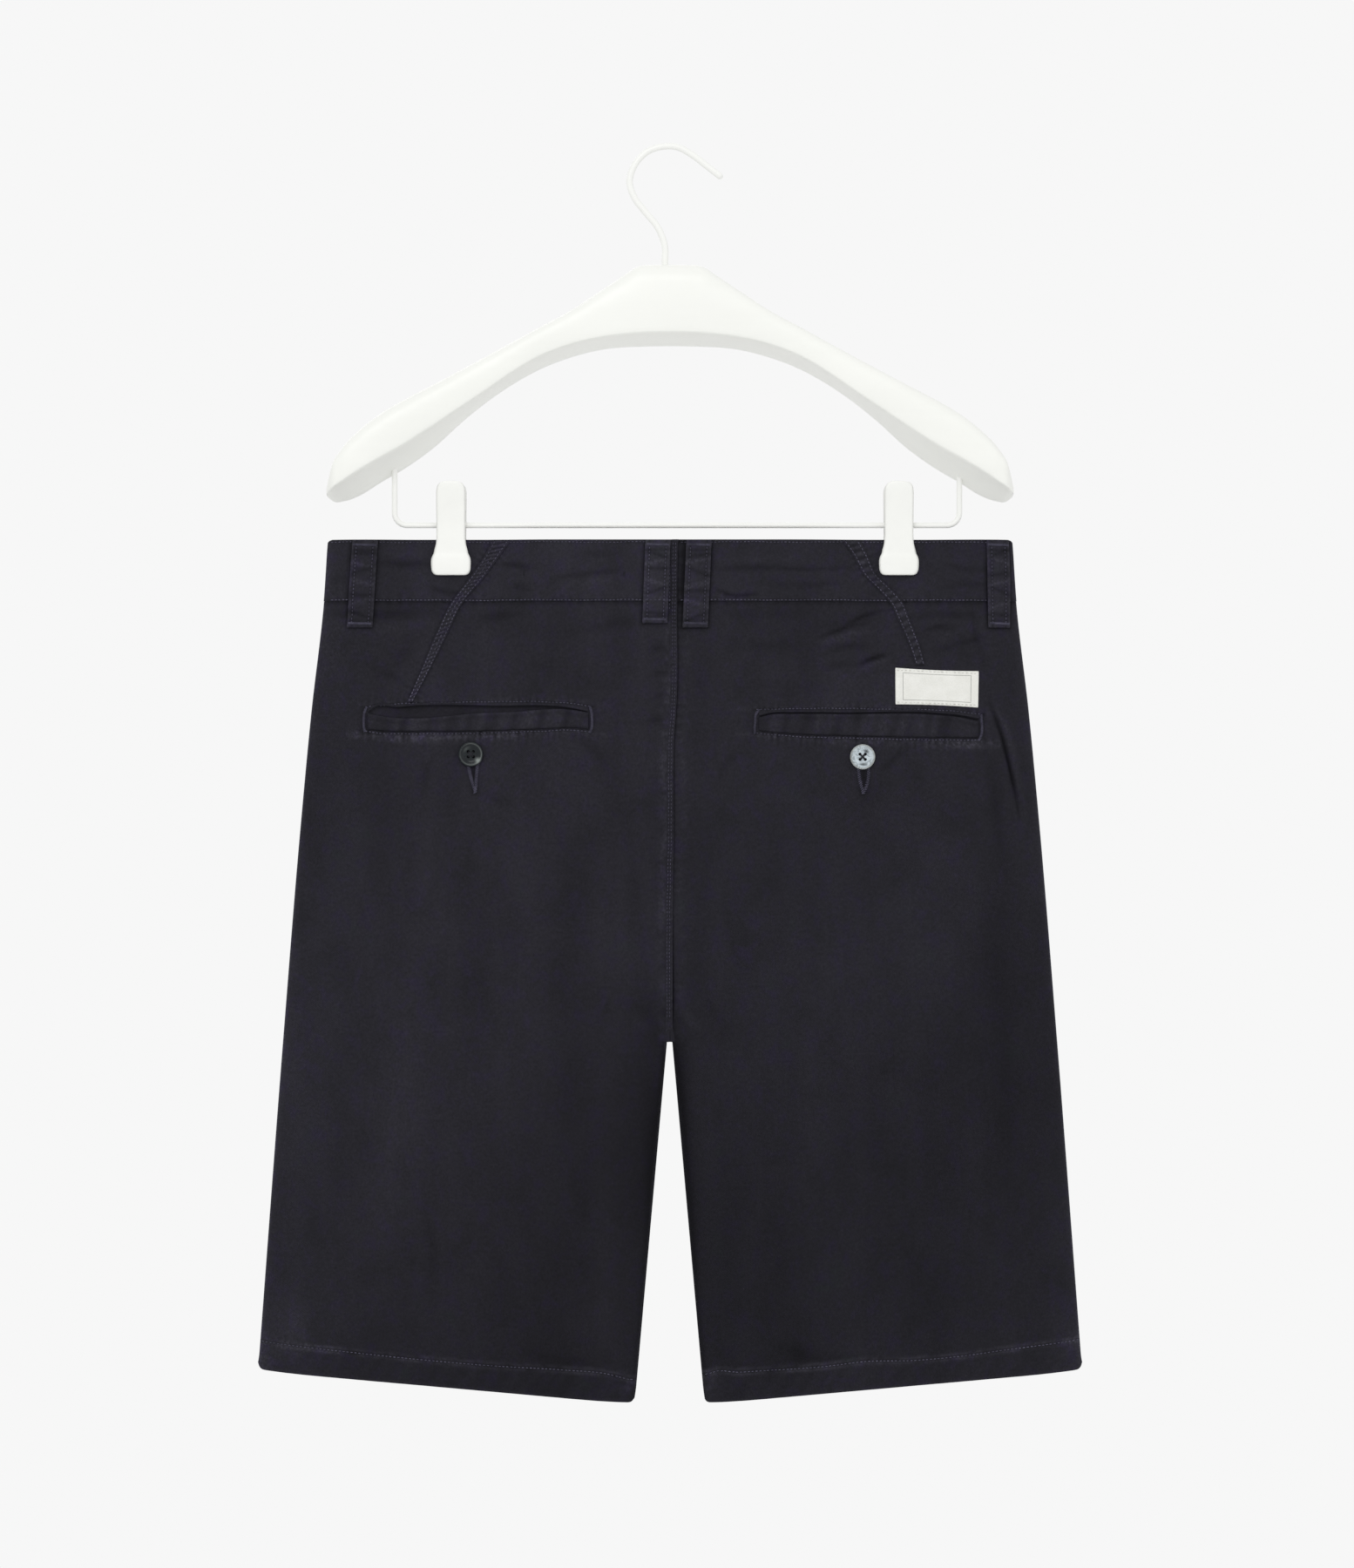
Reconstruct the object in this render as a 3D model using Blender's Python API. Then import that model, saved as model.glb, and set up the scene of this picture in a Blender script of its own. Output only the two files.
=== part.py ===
"""Bermuda shorts, hung flat by the waistband from the two clips of a white hanger.

Units are metres and +Z is up. The origin is the inside top of the hanger's hook, where a rail carries
it. The back of the shorts faces -Y and the fly faces +Y. "Left" is -X, the left hand of someone who
looks at the back of the shorts.

Two measures are used for the cloth: x, and the drop below the waist edge.
"""

import math

import bmesh
import bpy
import numpy as np

LEFT, RIGHT = -1, 1
BACK, FRONT = -1, 1
SIDE_NAMES = {LEFT: "left", RIGHT: "right"}
FACE_NAMES = {BACK: "back", FRONT: "front"}
SHARP_ANGLE = math.radians(35)  # between faces that shade as one where they turn by less

# ------------------------------------------------------------------ shorts: driving dimensions

GAP = 0.0003  # between pieces that are sewn together or lie on each other
WAIST_BELOW_HOOK = 0.2540
BAND_HEIGHT = 0.0400
CROTCH_DROP = 0.3266
SIDE_LENGTH = 0.5390  # waist edge to hem, at the side seam
INSEAM_EXTRA = 0.0218  # how much lower the hem is at the inseam
CROTCH_WIDTH = 0.0040  # between the legs, at the top of the gap
HEM_WIDTH_BETWEEN = 0.0458  # between the legs, at the hem

CLOTH = 0.0014
BAND_CLOTH = 0.0020
BAND_RISE = 0.0004  # how far the waistband stands proud of the panels
HEM_HEIGHT = 0.0180
HEM_FOLD = 0.0008  # the turned-up hem, inside

# drop, half width, half depth of the outer face
BODY_ROWS = np.array(
    [
        (0.0000, 0.2226, 0.0070),
        (0.0400, 0.2252, 0.0082),
        (0.1110, 0.2333, 0.0105),
        (0.1870, 0.2405, 0.0120),
        (0.3266, 0.2519, 0.0120),
        (0.5390, 0.2680, 0.0112),
    ]
)
# drop, x of the centre back seam, which wanders a little as the shorts hang
BACK_SEAM_ROWS = np.array(
    [
        (0.0000, 0.0043),
        (0.1060, 0.0043),
        (0.1190, 0.0034),
        (0.1310, 0.0025),
        (0.1500, 0.0022),
        (0.1930, 0.0022),
        (0.2300, 0.0014),
        (0.2700, 0.0011),
        (0.3266, 0.0011),
    ]
)
CROTCH_CENTRES = {BACK: -0.0006, FRONT: 0.0}  # x of the gap between the legs, at its top
SIDE_ROUND = 0.045  # how far in from the side seam the cloth rounds over
CENTRE_ROUND = 0.040  # the same at the inseam, and at the crotch seam
SEAM_SHARE = 0.135  # share of the depth that is left at the crotch
SEAM_CLOSES_FROM = 0.235  # the drop where the centre seam starts to turn in towards the crotch

BAND_DROPS = (0.000, 0.010, 0.020, 0.030, BAND_HEIGHT)
SEAT_DROPS = (BAND_HEIGHT + GAP, 0.060, 0.085, 0.110, 0.140, 0.170, 0.205, 0.240, 0.270, 0.300)
CROTCH_DROPS = (CROTCH_DROP, CROTCH_DROP + 0.0034)
LEG_DROPS = (0.350, 0.385, 0.425, 0.465, 0.500)
HEM_TOP = SIDE_LENGTH - HEM_HEIGHT
HEM_DROPS = (HEM_TOP - 0.001, HEM_TOP, SIDE_LENGTH)
PANEL_DROPS = SEAT_DROPS + CROTCH_DROPS + LEG_DROPS + HEM_DROPS
# shares of the way from the side seam to the centre seam or the inseam; the clip's columns come between
OUTER_COLUMNS = (0.0, 0.008, 0.03, 0.07, 0.13, 0.20, 0.255)
INNER_COLUMNS = (0.48, 0.56, 0.65, 0.74, 0.83, 0.91, 0.965, 0.992, 1.0)

# ------------------------------------------------------------------ shorts: what lies on the panels

LIFT = GAP  # gap under a piece that lies on the cloth
TRIM = 0.0008  # thickness of a strip or label
WELT_CLOTH = 0.0012

LOOP_WIDTH = 0.0158
LOOP_TOP, LOOP_BOTTOM = 0.0006, 0.0560
LOOP_CLOTH = 0.0012
LOOP_ARCH = 0.0012  # room for the belt at the middle of a loop
LOOP_FULLNESS = 0.7  # under 1, the arch rises sooner at the ends than a plain bow
LOOP_DROPS = (LOOP_TOP, 0.004, 0.012, 0.022, 0.032, 0.042, 0.052, LOOP_BOTTOM)
# name, side, face, x of the middle at the top, x at the bottom, width
BELT_LOOPS = (
    ("belt_loop_back_outer_left", LEFT, BACK, -0.1979, -0.2013, LOOP_WIDTH),
    ("belt_loop_back_centre_left", LEFT, BACK, -0.0078, -0.0098, LOOP_WIDTH),
    ("belt_loop_back_centre_right", RIGHT, BACK, 0.0198, 0.0164, LOOP_WIDTH),
    ("belt_loop_back_outer_right", RIGHT, BACK, 0.2125, 0.2135, 0.0136),
    ("belt_loop_front_left", LEFT, FRONT, -0.1010, -0.1030, LOOP_WIDTH),
    ("belt_loop_front_right", RIGHT, FRONT, 0.1010, 0.1030, LOOP_WIDTH),
)

# x, drop and width along the felled seam that runs from the waist edge down to each back pocket
DIAGONAL_SEAMS = {
    LEFT: (
        (-0.1096, 0.0012, 0.0112),
        (-0.1152, 0.0100, 0.0096),
        (-0.1258, 0.0250, 0.0088),
        (-0.1388, 0.0414, 0.0072),
        (-0.1483, 0.0612, 0.0070),
        (-0.1565, 0.0797, 0.0056),
        (-0.1686, 0.1056, 0.0030),
    ),
    RIGHT: (
        (0.1178, 0.0012, 0.0112),
        (0.1235, 0.0100, 0.0096),
        (0.1298, 0.0225, 0.0080),
        (0.1392, 0.0320, 0.0084),
        (0.1474, 0.0414, 0.0080),
        (0.1520, 0.0520, 0.0072),
        (0.1588, 0.0690, 0.0064),
        (0.1624, 0.0812, 0.0058),
    ),
}
CENTRE_SEAM_WIDTH = 0.0036
CENTRE_SEAM_DROPS = BAND_DROPS[1:] + SEAT_DROPS[1:]
CENTRE_SEAM_TOP, CENTRE_SEAM_FOOT = 0.0008, 0.3230

# x of the two ends, drop of the top edge at each end, drop of the bottom edge at each end
POCKET_LIPS = {
    LEFT: ((-0.1955, -0.0545), (0.1078, 0.1072), (0.1108, 0.1096)),
    RIGHT: ((0.0580, 0.1985), (0.1108, 0.1122), (0.1134, 0.1146)),
}
POCKET_WELTS = {
    LEFT: ((-0.1955, -0.0545), (0.1152, 0.1124), (0.1246, 0.1240)),
    RIGHT: ((0.0580, 0.1985), (0.1170, 0.1180), (0.1266, 0.1282)),
}
POCKET_CELLS = 12

LABEL_CORNERS = ((0.1469, 0.0835), (0.2007, 0.0857), (0.2001, 0.1088), (0.1469, 0.1068))
LABEL_CELLS = (2, 6)

# drop and width of the fly flap, whose edge is the centre front
FLY_ROWS = (
    (0.0412, 0.0360),
    (0.0800, 0.0360),
    (0.1200, 0.0360),
    (0.1500, 0.0358),
    (0.1650, 0.0330),
    (0.1780, 0.0250),
    (0.1860, 0.0140),
    (0.1885, 0.0060),
)

BUTTON_RADIUS = 0.0081
BUTTON_SEGMENTS = 24
# radius and height above the cloth, from the flat of the outer face over the rim to the back
BUTTON_PROFILE = (
    (0.0048, 0.0017),
    (0.0060, 0.0024),
    (0.0073, 0.0025),
    (BUTTON_RADIUS, 0.0017),
    (BUTTON_RADIUS - 0.0002, 0.0010),
    (0.0066, 0.0004),
)
BUTTON_HOLE_RADIUS = 0.00095
BUTTON_HOLE_SPREAD = 0.0017  # each of the four holes from the button's middle, along x and z
# name, side, face, x, drop, rise of the cloth below
BUTTONS = (
    ("button_back_left", LEFT, BACK, -0.1290, 0.1395, 0.0),
    ("button_back_right", RIGHT, BACK, 0.1247, 0.1412, 0.0),
    ("button_waist", LEFT, FRONT, -0.0120, 0.0200, BAND_RISE),
)

# ------------------------------------------------------------------ hanger: driving dimensions

HOOK_WIRE = 0.00215  # radius
# x and z of the hook's middle line, from the wood up round to the tip
HOOK_ROUTE = (
    (-0.0034, -0.0843),
    (-0.0034, -0.0735),
    (-0.0034, -0.0630),
    (-0.0079, -0.0508),
    (-0.0164, -0.0402),
    (-0.0232, -0.0312),
    (-0.0264, -0.0210),
    (-0.0232, -0.0102),
    (-0.0153, -0.0015),
    (-0.0051, 0.0021),
    (0.0045, 0.0018),
    (0.0136, -0.0028),
    (0.0238, -0.0105),
    (0.0340, -0.0184),
)
HOOK_STEP = 0.0060

BAR_WIRE = 0.00185  # radius
BAR_ENDS = (-0.1792, 0.1882)
BAR_TOP, BAR_LEVEL = -0.1990, -0.2444
BAR_BEND = 0.0080
BAR_BEND_STEPS = 6
DRILL_LENGTH = 0.0400  # of the cutters for the wires' holes in the wood
DRILL_SEGMENTS = 12

# Distance from the hanger's middle; z of the top, of the front face's lower edge and of the foot; half
# of the thickness front to back; y of the middle
HANGER_ROWS = (
    (0.0000, -0.0754, -0.1210, -0.1268, 0.0175, 0.0000),
    (0.0150, -0.0756, -0.1214, -0.1270, 0.0175, 0.0000),
    (0.0213, -0.0765, -0.1218, -0.1272, 0.0176, 0.0000),
    (0.0280, -0.0810, -0.1223, -0.1274, 0.0176, 0.0000),
    (0.0445, -0.0921, -0.1242, -0.1291, 0.0176, 0.0000),
    (0.0645, -0.1053, -0.1287, -0.1341, 0.0178, 0.0000),
    (0.0844, -0.1162, -0.1364, -0.1417, 0.0180, -0.0003),
    (0.1027, -0.1263, -0.1472, -0.1517, 0.0183, -0.0007),
    (0.1177, -0.1345, -0.1578, -0.1618, 0.0186, -0.0011),
    (0.1343, -0.1435, -0.1689, -0.1752, 0.0189, -0.0017),
    (0.1543, -0.1542, -0.1822, -0.1936, 0.0193, -0.0024),
    (0.1727, -0.1639, -0.1940, -0.2069, 0.0196, -0.0032),
    (0.1892, -0.1739, -0.2032, -0.2167, 0.0198, -0.0040),
    (0.2025, -0.1847, -0.2111, -0.2250, 0.0195, -0.0046),
    (0.2125, -0.1955, -0.2178, -0.2287, 0.0182, -0.0052),
    (0.2191, -0.2068, -0.2220, -0.2290, 0.0139, -0.0057),
    (0.2225, -0.2200, -0.2247, -0.2264, 0.0060, -0.0059),
)
# A section of the wood: y as a share of the half thickness, then the point's height as a share of the
# way from the front edge up to the top (first figure) and from the foot up to the front edge (second)
HANGER_SECTION = (
    (-0.45, 1.00, 1.0),
    (-0.80, 0.93, 1.0),
    (-1.00, 0.74, 1.0),
    (-1.00, 0.07, 1.0),
    (-0.93, 0.00, 0.93),
    (0.30, 0.00, 0.08),
    (0.55, 0.00, 0.00),
    (0.85, 0.00, 0.12),
    (1.00, 0.00, 0.70),
    (1.00, 0.74, 1.0),
    (0.80, 0.93, 1.0),
    (0.45, 1.00, 1.0),
)

CLIP_CENTRES = {LEFT: -0.1423, RIGHT: 0.1486}
CLIP_DEPTH = 0.0030  # half depth of the cloth where a clip holds it
CLIP_COLUMN = 0.0145  # the cloth's columns on each side of a clip's middle
CLIP_FLAT = 0.0170  # half width that a clip presses flat
CLIP_EASE = 0.0520  # how far beyond that the cloth is drawn in
CLIP_FLAT_DROP, CLIP_EASE_DROP = 0.0310, 0.1300
CLIP_SPRING = 0.0120  # length of the spring's barrel along the bar
CLIP_SPRING_WALL = 0.0012
CLIP_SPRING_SEGMENTS = 16
JAW_INSIDE = GAP / 2 + CLIP_DEPTH + BAND_RISE + GAP  # from the middle plane to a jaw's inner face
# height above the waist edge, half width, how far the inner face is beyond JAW_INSIDE, thickness
CLIP_ROWS = (
    (0.0380, 0.0046, 0.0036, 0.0014),
    (0.0368, 0.0074, 0.0035, 0.0019),
    (0.0340, 0.0091, 0.0032, 0.0022),
    (0.0280, 0.0095, 0.0026, 0.0023),
    (0.0170, 0.0095, 0.0012, 0.0024),
    (0.0090, 0.0095, 0.0003, 0.0026),
    (0.0010, 0.0095, 0.0000, 0.0028),
    (-0.0040, 0.0104, 0.0000, 0.0028),
    (-0.0098, 0.0120, 0.0000, 0.0028),
    (-0.0118, 0.0128, 0.0000, 0.0030),
    (-0.0200, 0.0128, 0.0000, 0.0030),
    (-0.0222, 0.0124, 0.0000, 0.0028),
    (-0.0232, 0.0108, 0.0000, 0.0022),
)
CLIP_CHAMFER = 0.0008

# ------------------------------------------------------------------ colours: red, green, blue (linear)

NAVY_TWILL = ("navy_twill", (0.0185, 0.0185, 0.0262), 0.88, 0.0)
LABEL_TAPE = ("label_tape", (0.82, 0.82, 0.78), 0.85, 0.0)
BUTTON_RESIN = ("button_resin", (0.03, 0.035, 0.045), 0.25, 0.0)
WHITE_WOOD = ("white_wood", (0.90, 0.90, 0.88), 0.45, 0.0)
WHITE_WIRE = ("white_wire", (0.88, 0.88, 0.87), 0.35, 0.0)
WHITE_PLASTIC = ("white_plastic", (0.90, 0.90, 0.90), 0.30, 0.0)


# ------------------------------------------------------------------ helpers


def clear_scene():
    for old in list(bpy.data.objects):
        bpy.data.objects.remove(old, do_unlink=True)


def material(name, colour, roughness, metallic):
    """The named material, made on first use."""
    found = bpy.data.materials.get(name)
    if found:
        return found
    made = bpy.data.materials.new(name)
    made.use_nodes = True
    shader = made.node_tree.nodes["Principled BSDF"]
    shader.inputs["Base Color"].default_value = (*colour, 1.0)
    shader.inputs["Roughness"].default_value = roughness
    shader.inputs["Metallic"].default_value = metallic
    return made


def add_object(name, data, finish):
    obj = bpy.data.objects.new(name, data)
    bpy.context.collection.objects.link(obj)
    data.materials.append(material(*finish))
    return obj


def add_mesh(name, points, faces, finish):
    """A mesh object with its faces pointing out."""
    mesh = bpy.data.meshes.new(name)
    mesh.from_pydata([tuple(p) for p in points], [], faces)
    shape = bmesh.new()
    shape.from_mesh(mesh)
    bmesh.ops.recalc_face_normals(shape, faces=shape.faces)
    shape.to_mesh(mesh)
    shape.free()
    mesh.shade_smooth()
    mesh.set_sharp_from_angle(angle=SHARP_ANGLE)
    return add_object(name, mesh, finish)


def along(table, column, at):
    """One column of a table, at a place along its first column, on a smooth curve through the rows."""
    starts, values = table[:, 0], table[:, column]
    slopes = np.gradient(values, starts)
    at = np.clip(at, starts[0], starts[-1])
    i = np.clip(np.searchsorted(starts, at) - 1, 0, len(starts) - 2)
    step = starts[i + 1] - starts[i]
    f = (at - starts[i]) / step
    low = values[i] * (1 + 2 * f) * (1 - f) ** 2 + slopes[i] * step * f * (1 - f) ** 2
    high = values[i + 1] * f * f * (3 - 2 * f) + slopes[i + 1] * step * f * f * (f - 1)
    return low + high


def eased(t):
    """0 to 1, level at both ends."""
    t = np.clip(t, 0.0, 1.0)
    return t * t * (3 - 2 * t)


def rounded(t):
    """A quarter round that rises from 0 at t = 0 to 1 at t = 1, and stays there."""
    t = np.clip(t, 0.0, 1.0)
    return np.sqrt(1 - (1 - t) ** 2)


def loft(name, rings, finish):
    """A closed solid through rings of points, with flat ends."""
    count = len(rings[0])
    points = [p for ring in rings for p in ring]
    faces = [tuple(range(count)), tuple(range(len(points) - count, len(points)))]
    for r in range(len(rings) - 1):
        for k in range(count):
            a, b = r * count + k, r * count + (k + 1) % count
            faces.append((a, b, b + count, a + count))
    return add_mesh(name, points, faces, finish)


def sheet_solid(name, outer, inner, finish):
    """A closed wall between two grids of points of the same size."""
    rows, columns = outer.shape[:2]
    points = np.concatenate([outer.reshape(-1, 3), inner.reshape(-1, 3)])
    back = rows * columns
    faces = []
    for r in range(rows - 1):
        for c in range(columns - 1):
            a = r * columns + c
            cell = (a, a + 1, a + columns + 1, a + columns)
            faces.append(cell)
            faces.append(tuple(back + i for i in reversed(cell)))
    top = list(range(columns))
    right = [r * columns + columns - 1 for r in range(1, rows)]
    bottom = [(rows - 1) * columns + c for c in range(columns - 2, -1, -1)]
    left = [r * columns for r in range(rows - 2, 0, -1)]
    rim = top + right + bottom + left
    for a, b in zip(rim, rim[1:] + rim[:1]):
        faces.append((a, b, back + b, back + a))
    return add_mesh(name, points, faces, finish)


def cutter(name, centre, radius, depth):
    """An upright cylinder that another object's Boolean takes away."""
    shape = bmesh.new()
    bmesh.ops.create_cone(
        shape,
        cap_ends=True,
        segments=DRILL_SEGMENTS,
        radius1=radius,
        radius2=radius,
        depth=depth,
    )
    mesh = bpy.data.meshes.new(name)
    shape.to_mesh(mesh)
    shape.free()
    obj = bpy.data.objects.new(name, mesh)
    bpy.context.collection.objects.link(obj)
    obj.location = centre
    obj.hide_render = True
    obj.display_type = "WIRE"
    return obj


def cut(obj, tool, solver="EXACT"):
    modifier = obj.modifiers.new(tool.name, "BOOLEAN")
    modifier.operation = "DIFFERENCE"
    modifier.solver = solver
    modifier.object = tool


# ------------------------------------------------------------------ the cloth's own surface


def side_x(side, drop):
    return side * along(BODY_ROWS, 1, drop)


def in_leg(drop):
    return drop > CROTCH_DROP


def leg_share(drop):
    """0 at the crotch, 1 at the hem."""
    return max(0.0, (drop - CROTCH_DROP) / (SIDE_LENGTH - CROTCH_DROP))


def centre_x(face, drop):
    return along(BACK_SEAM_ROWS, 1, drop) if face == BACK else 0.0


def inner_x(side, face, drop):
    """x of a panel's inner edge: the centre seam, and below the crotch the inseam."""
    if not in_leg(drop):
        return centre_x(face, drop) + side * GAP / 2
    widening = (HEM_WIDTH_BETWEEN - CROTCH_WIDTH) * leg_share(drop)
    return CROTCH_CENTRES[face] + side * (CROTCH_WIDTH + widening) / 2


def clip_pinch(side, x, drop):
    """1 where a clip presses the cloth flat, easing to 0 round it."""
    away = (np.abs(x - CLIP_CENTRES[side]) - CLIP_FLAT) / CLIP_EASE
    below = (drop - CLIP_FLAT_DROP) / (CLIP_EASE_DROP - CLIP_FLAT_DROP)
    return eased(1 - away) * eased(1 - below)


def half_depth(side, face, drop, x):
    """How far the outer face is from the middle plane."""
    pinch = clip_pinch(side, x, drop)
    full = along(BODY_ROWS, 2, drop) * (1 - pinch) + CLIP_DEPTH * pinch
    turning = eased((drop - SEAM_CLOSES_FROM) / (CROTCH_DROP - SEAM_CLOSES_FROM))
    left_at_seam = 0.0 if in_leg(drop) else 1 - (1 - SEAM_SHARE) * turning
    at_side = rounded(np.abs(x - side_x(side, drop)) / SIDE_ROUND)
    at_centre = rounded(np.abs(x - inner_x(side, face, drop)) / CENTRE_ROUND)
    return GAP / 2 + full * at_side * (left_at_seam + (1 - left_at_seam) * at_centre)


def columns_of(side, face):
    """Shares of the way across a panel, with three of them at its clip."""
    first, last = side_x(side, 0.0), inner_x(side, face, 0.0)
    near_clip = [CLIP_CENTRES[side] + side * k * CLIP_COLUMN for k in (1, 0, -1)]
    shares = [(x - first) / (last - first) for x in near_clip]
    return np.array(OUTER_COLUMNS + tuple(shares) + INNER_COLUMNS)


def surface_grid(side, face, drops):
    """(points, level outward normals) of the cloth's outer face, a row for each drop."""
    shares = columns_of(side, face)
    points = np.zeros((len(drops), len(shares), 3))
    for r, drop in enumerate(drops):
        first, last = side_x(side, drop), inner_x(side, face, drop)
        points[r, :, 0] = first + (last - first) * shares
        points[r, :, 1] = face * half_depth(side, face, drop, points[r, :, 0])
        points[r, :, 2] = -WAIST_BELOW_HOOK - drop - INSEAM_EXTRA * leg_share(drop) * shares
    across = np.gradient(points, axis=1)
    normals = np.zeros_like(points)
    normals[..., 0] = face * side * across[..., 1]
    normals[..., 1] = face * np.abs(across[..., 0])
    for r, drop in enumerate(drops):
        normals[r, 0] = (side, 0, 0)
        normals[r, -1] = (-side, 0, 0) if in_leg(drop) else (0, face, 0)
    return points, normals / np.linalg.norm(normals, axis=2, keepdims=True)


ALL_DROPS = BAND_DROPS + PANEL_DROPS
SURFACES = {
    (side, face): surface_grid(side, face, ALL_DROPS)
    for side in (LEFT, RIGHT)
    for face in (BACK, FRONT)
}


def on_cloth(side, face, x, drop, lift):
    """The point at x and drop on the cloth's outer face above the crotch, moved out by lift."""
    points, normals = SURFACES[side, face]
    r = int(np.clip(np.searchsorted(ALL_DROPS, drop) - 1, 0, len(ALL_DROPS) - 2))
    f = (drop - ALL_DROPS[r]) / (ALL_DROPS[r + 1] - ALL_DROPS[r])
    row = points[r] * (1 - f) + points[r + 1] * f
    row_normals = normals[r] * (1 - f) + normals[r + 1] * f
    order = slice(None) if row[-1, 0] > row[0, 0] else slice(None, None, -1)
    xs = row[order, 0]
    place = np.array([np.interp(x, xs, row[order, k]) for k in range(3)])
    out = np.array([np.interp(x, xs, row_normals[order, k]) for k in range(3)])
    place[0] = x
    return place + out / np.linalg.norm(out) * lift


# ------------------------------------------------------------------ cloth pieces


def cut_panel(name, side, face, drops, rise, thickness):
    """A wall of cloth. Its outer face stands proud of the surface by rise."""
    points, normals = surface_grid(side, face, drops)
    walls = np.array([thickness + HEM_FOLD * (drop >= HEM_TOP) for drop in drops])
    outer = points + normals * rise
    inner = points - normals * (walls - rise)[:, None, None]
    outer[:, 0] = points[:, 0]
    inner[:, 0] = points[:, 0] - normals[:, 0] * walls[:, None]
    return sheet_solid(name, outer, inner, NAVY_TWILL)


def build_panels():
    for side in (LEFT, RIGHT):
        for face in (BACK, FRONT):
            place = f"{FACE_NAMES[face]}_{SIDE_NAMES[side]}"
            cut_panel(f"panel_{place}", side, face, PANEL_DROPS, 0.0, CLOTH)
            cut_panel(f"waistband_{place}", side, face, BAND_DROPS, BAND_RISE, BAND_CLOTH)


def patch(name, side, face, grid, lift, thickness, finish):
    """A thin piece on the cloth, from a grid of (x, drop). lift is one value, or one for each row."""
    lifts = np.broadcast_to(lift, len(grid))

    def level(more):
        return np.array(
            [
                [on_cloth(side, face, x, drop, low + more) for x, drop in row]
                for row, low in zip(grid, lifts)
            ]
        )

    return sheet_solid(name, level(thickness), level(0.0), finish)


def ribbon(route):
    """Two columns of (x, drop), the edges of a strip along (x, drop, width)."""
    middle = np.array([(x, drop) for x, drop, _ in route])
    ways = np.gradient(middle, axis=0)
    ways /= np.linalg.norm(ways, axis=1, keepdims=True)
    halves = np.array([width / 2 for _, _, width in route])
    across = np.stack([-ways[:, 1], ways[:, 0]], axis=1) * halves[:, None]
    return np.stack([middle - across, middle + across], axis=1)


def four_sided(corners, rows, columns):
    """A grid inside four corners: top left, top right, bottom right, bottom left."""
    tl, tr, br, bl = (np.array(c) for c in corners)
    grid = []
    for v in np.linspace(0, 1, rows + 1):
        left, right = tl * (1 - v) + bl * v, tr * (1 - v) + br * v
        grid.append([left * (1 - u) + right * u for u in np.linspace(0, 1, columns + 1)])
    return grid


def build_belt_loops():
    for name, side, face, top_x, bottom_x, width in BELT_LOOPS:
        grid, lifts = [], []
        for drop in LOOP_DROPS:
            f = (drop - LOOP_TOP) / (LOOP_BOTTOM - LOOP_TOP)
            x = top_x * (1 - f) + bottom_x * f
            grid.append([(x + width * k, drop) for k in (-0.5, 0.0, 0.5)])
            arch = LOOP_ARCH * math.sin(math.pi * f) ** LOOP_FULLNESS
            lifts.append(BAND_RISE + LIFT + arch)
        patch(name, side, face, grid, lifts, LOOP_CLOTH, NAVY_TWILL)


def build_seams():
    for side, route in DIAGONAL_SEAMS.items():
        name = f"diagonal_seam_{SIDE_NAMES[side]}"
        patch(name, side, BACK, ribbon(route), BAND_RISE + LIFT, TRIM, NAVY_TWILL)
    drops = [CENTRE_SEAM_TOP, *CENTRE_SEAM_DROPS, CENTRE_SEAM_FOOT]
    grid = []
    for drop in drops:
        edge = inner_x(LEFT, BACK, drop)
        grid.append([(edge - CENTRE_SEAM_WIDTH, drop), (edge - GAP, drop)])
    patch("centre_back_seam", LEFT, BACK, grid, BAND_RISE + LIFT, TRIM, NAVY_TWILL)


def build_pockets():
    for kind, table in (("lip", POCKET_LIPS), ("welt", POCKET_WELTS)):
        for side, (ends, tops, bottoms) in table.items():
            corners = (
                (ends[0], tops[0]),
                (ends[1], tops[1]),
                (ends[1], bottoms[1]),
                (ends[0], bottoms[0]),
            )
            grid = four_sided(corners, 1, POCKET_CELLS)
            name = f"pocket_{kind}_{SIDE_NAMES[side]}"
            patch(name, side, BACK, grid, LIFT, WELT_CLOTH, NAVY_TWILL)


def build_label():
    grid = four_sided(LABEL_CORNERS, *LABEL_CELLS)
    patch("label", RIGHT, BACK, grid, LIFT, TRIM, LABEL_TAPE)


def build_fly():
    grid = []
    for drop, width in FLY_ROWS:
        grid.append([(-GAP - width * k, drop) for k in (0.0, 0.33, 0.67, 1.0)])
    patch("fly", LEFT, FRONT, grid, LIFT, TRIM, NAVY_TWILL)


def build_button(name, side, face, x, drop, rise):
    """A turned button with four holes, facing away from the cloth."""
    base = on_cloth(side, face, x, drop, rise)
    turns = [2 * math.pi * k / BUTTON_SEGMENTS for k in range(BUTTON_SEGMENTS)]
    rings = []
    for radius, height in BUTTON_PROFILE:
        y = base[1] + face * height
        ring = [(radius * math.cos(t), radius * math.sin(t)) for t in turns]
        rings.append([(base[0] + across, y, base[2] + up) for across, up in ring])
    obj = loft(name, rings, BUTTON_RESIN)
    for i, (right, up) in enumerate(((-1, -1), (-1, 1), (1, -1), (1, 1))):
        x_hole = base[0] + right * BUTTON_HOLE_SPREAD
        z_hole = base[2] + up * BUTTON_HOLE_SPREAD
        place = (x_hole, base[1], z_hole)
        tool = cutter(f"{name}_hole_{i}", place, BUTTON_HOLE_RADIUS, BUTTON_RADIUS)
        tool.rotation_euler = (math.pi / 2, 0, 0)
        cut(obj, tool, solver="MANIFOLD")


# ------------------------------------------------------------------ the hanger


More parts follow.
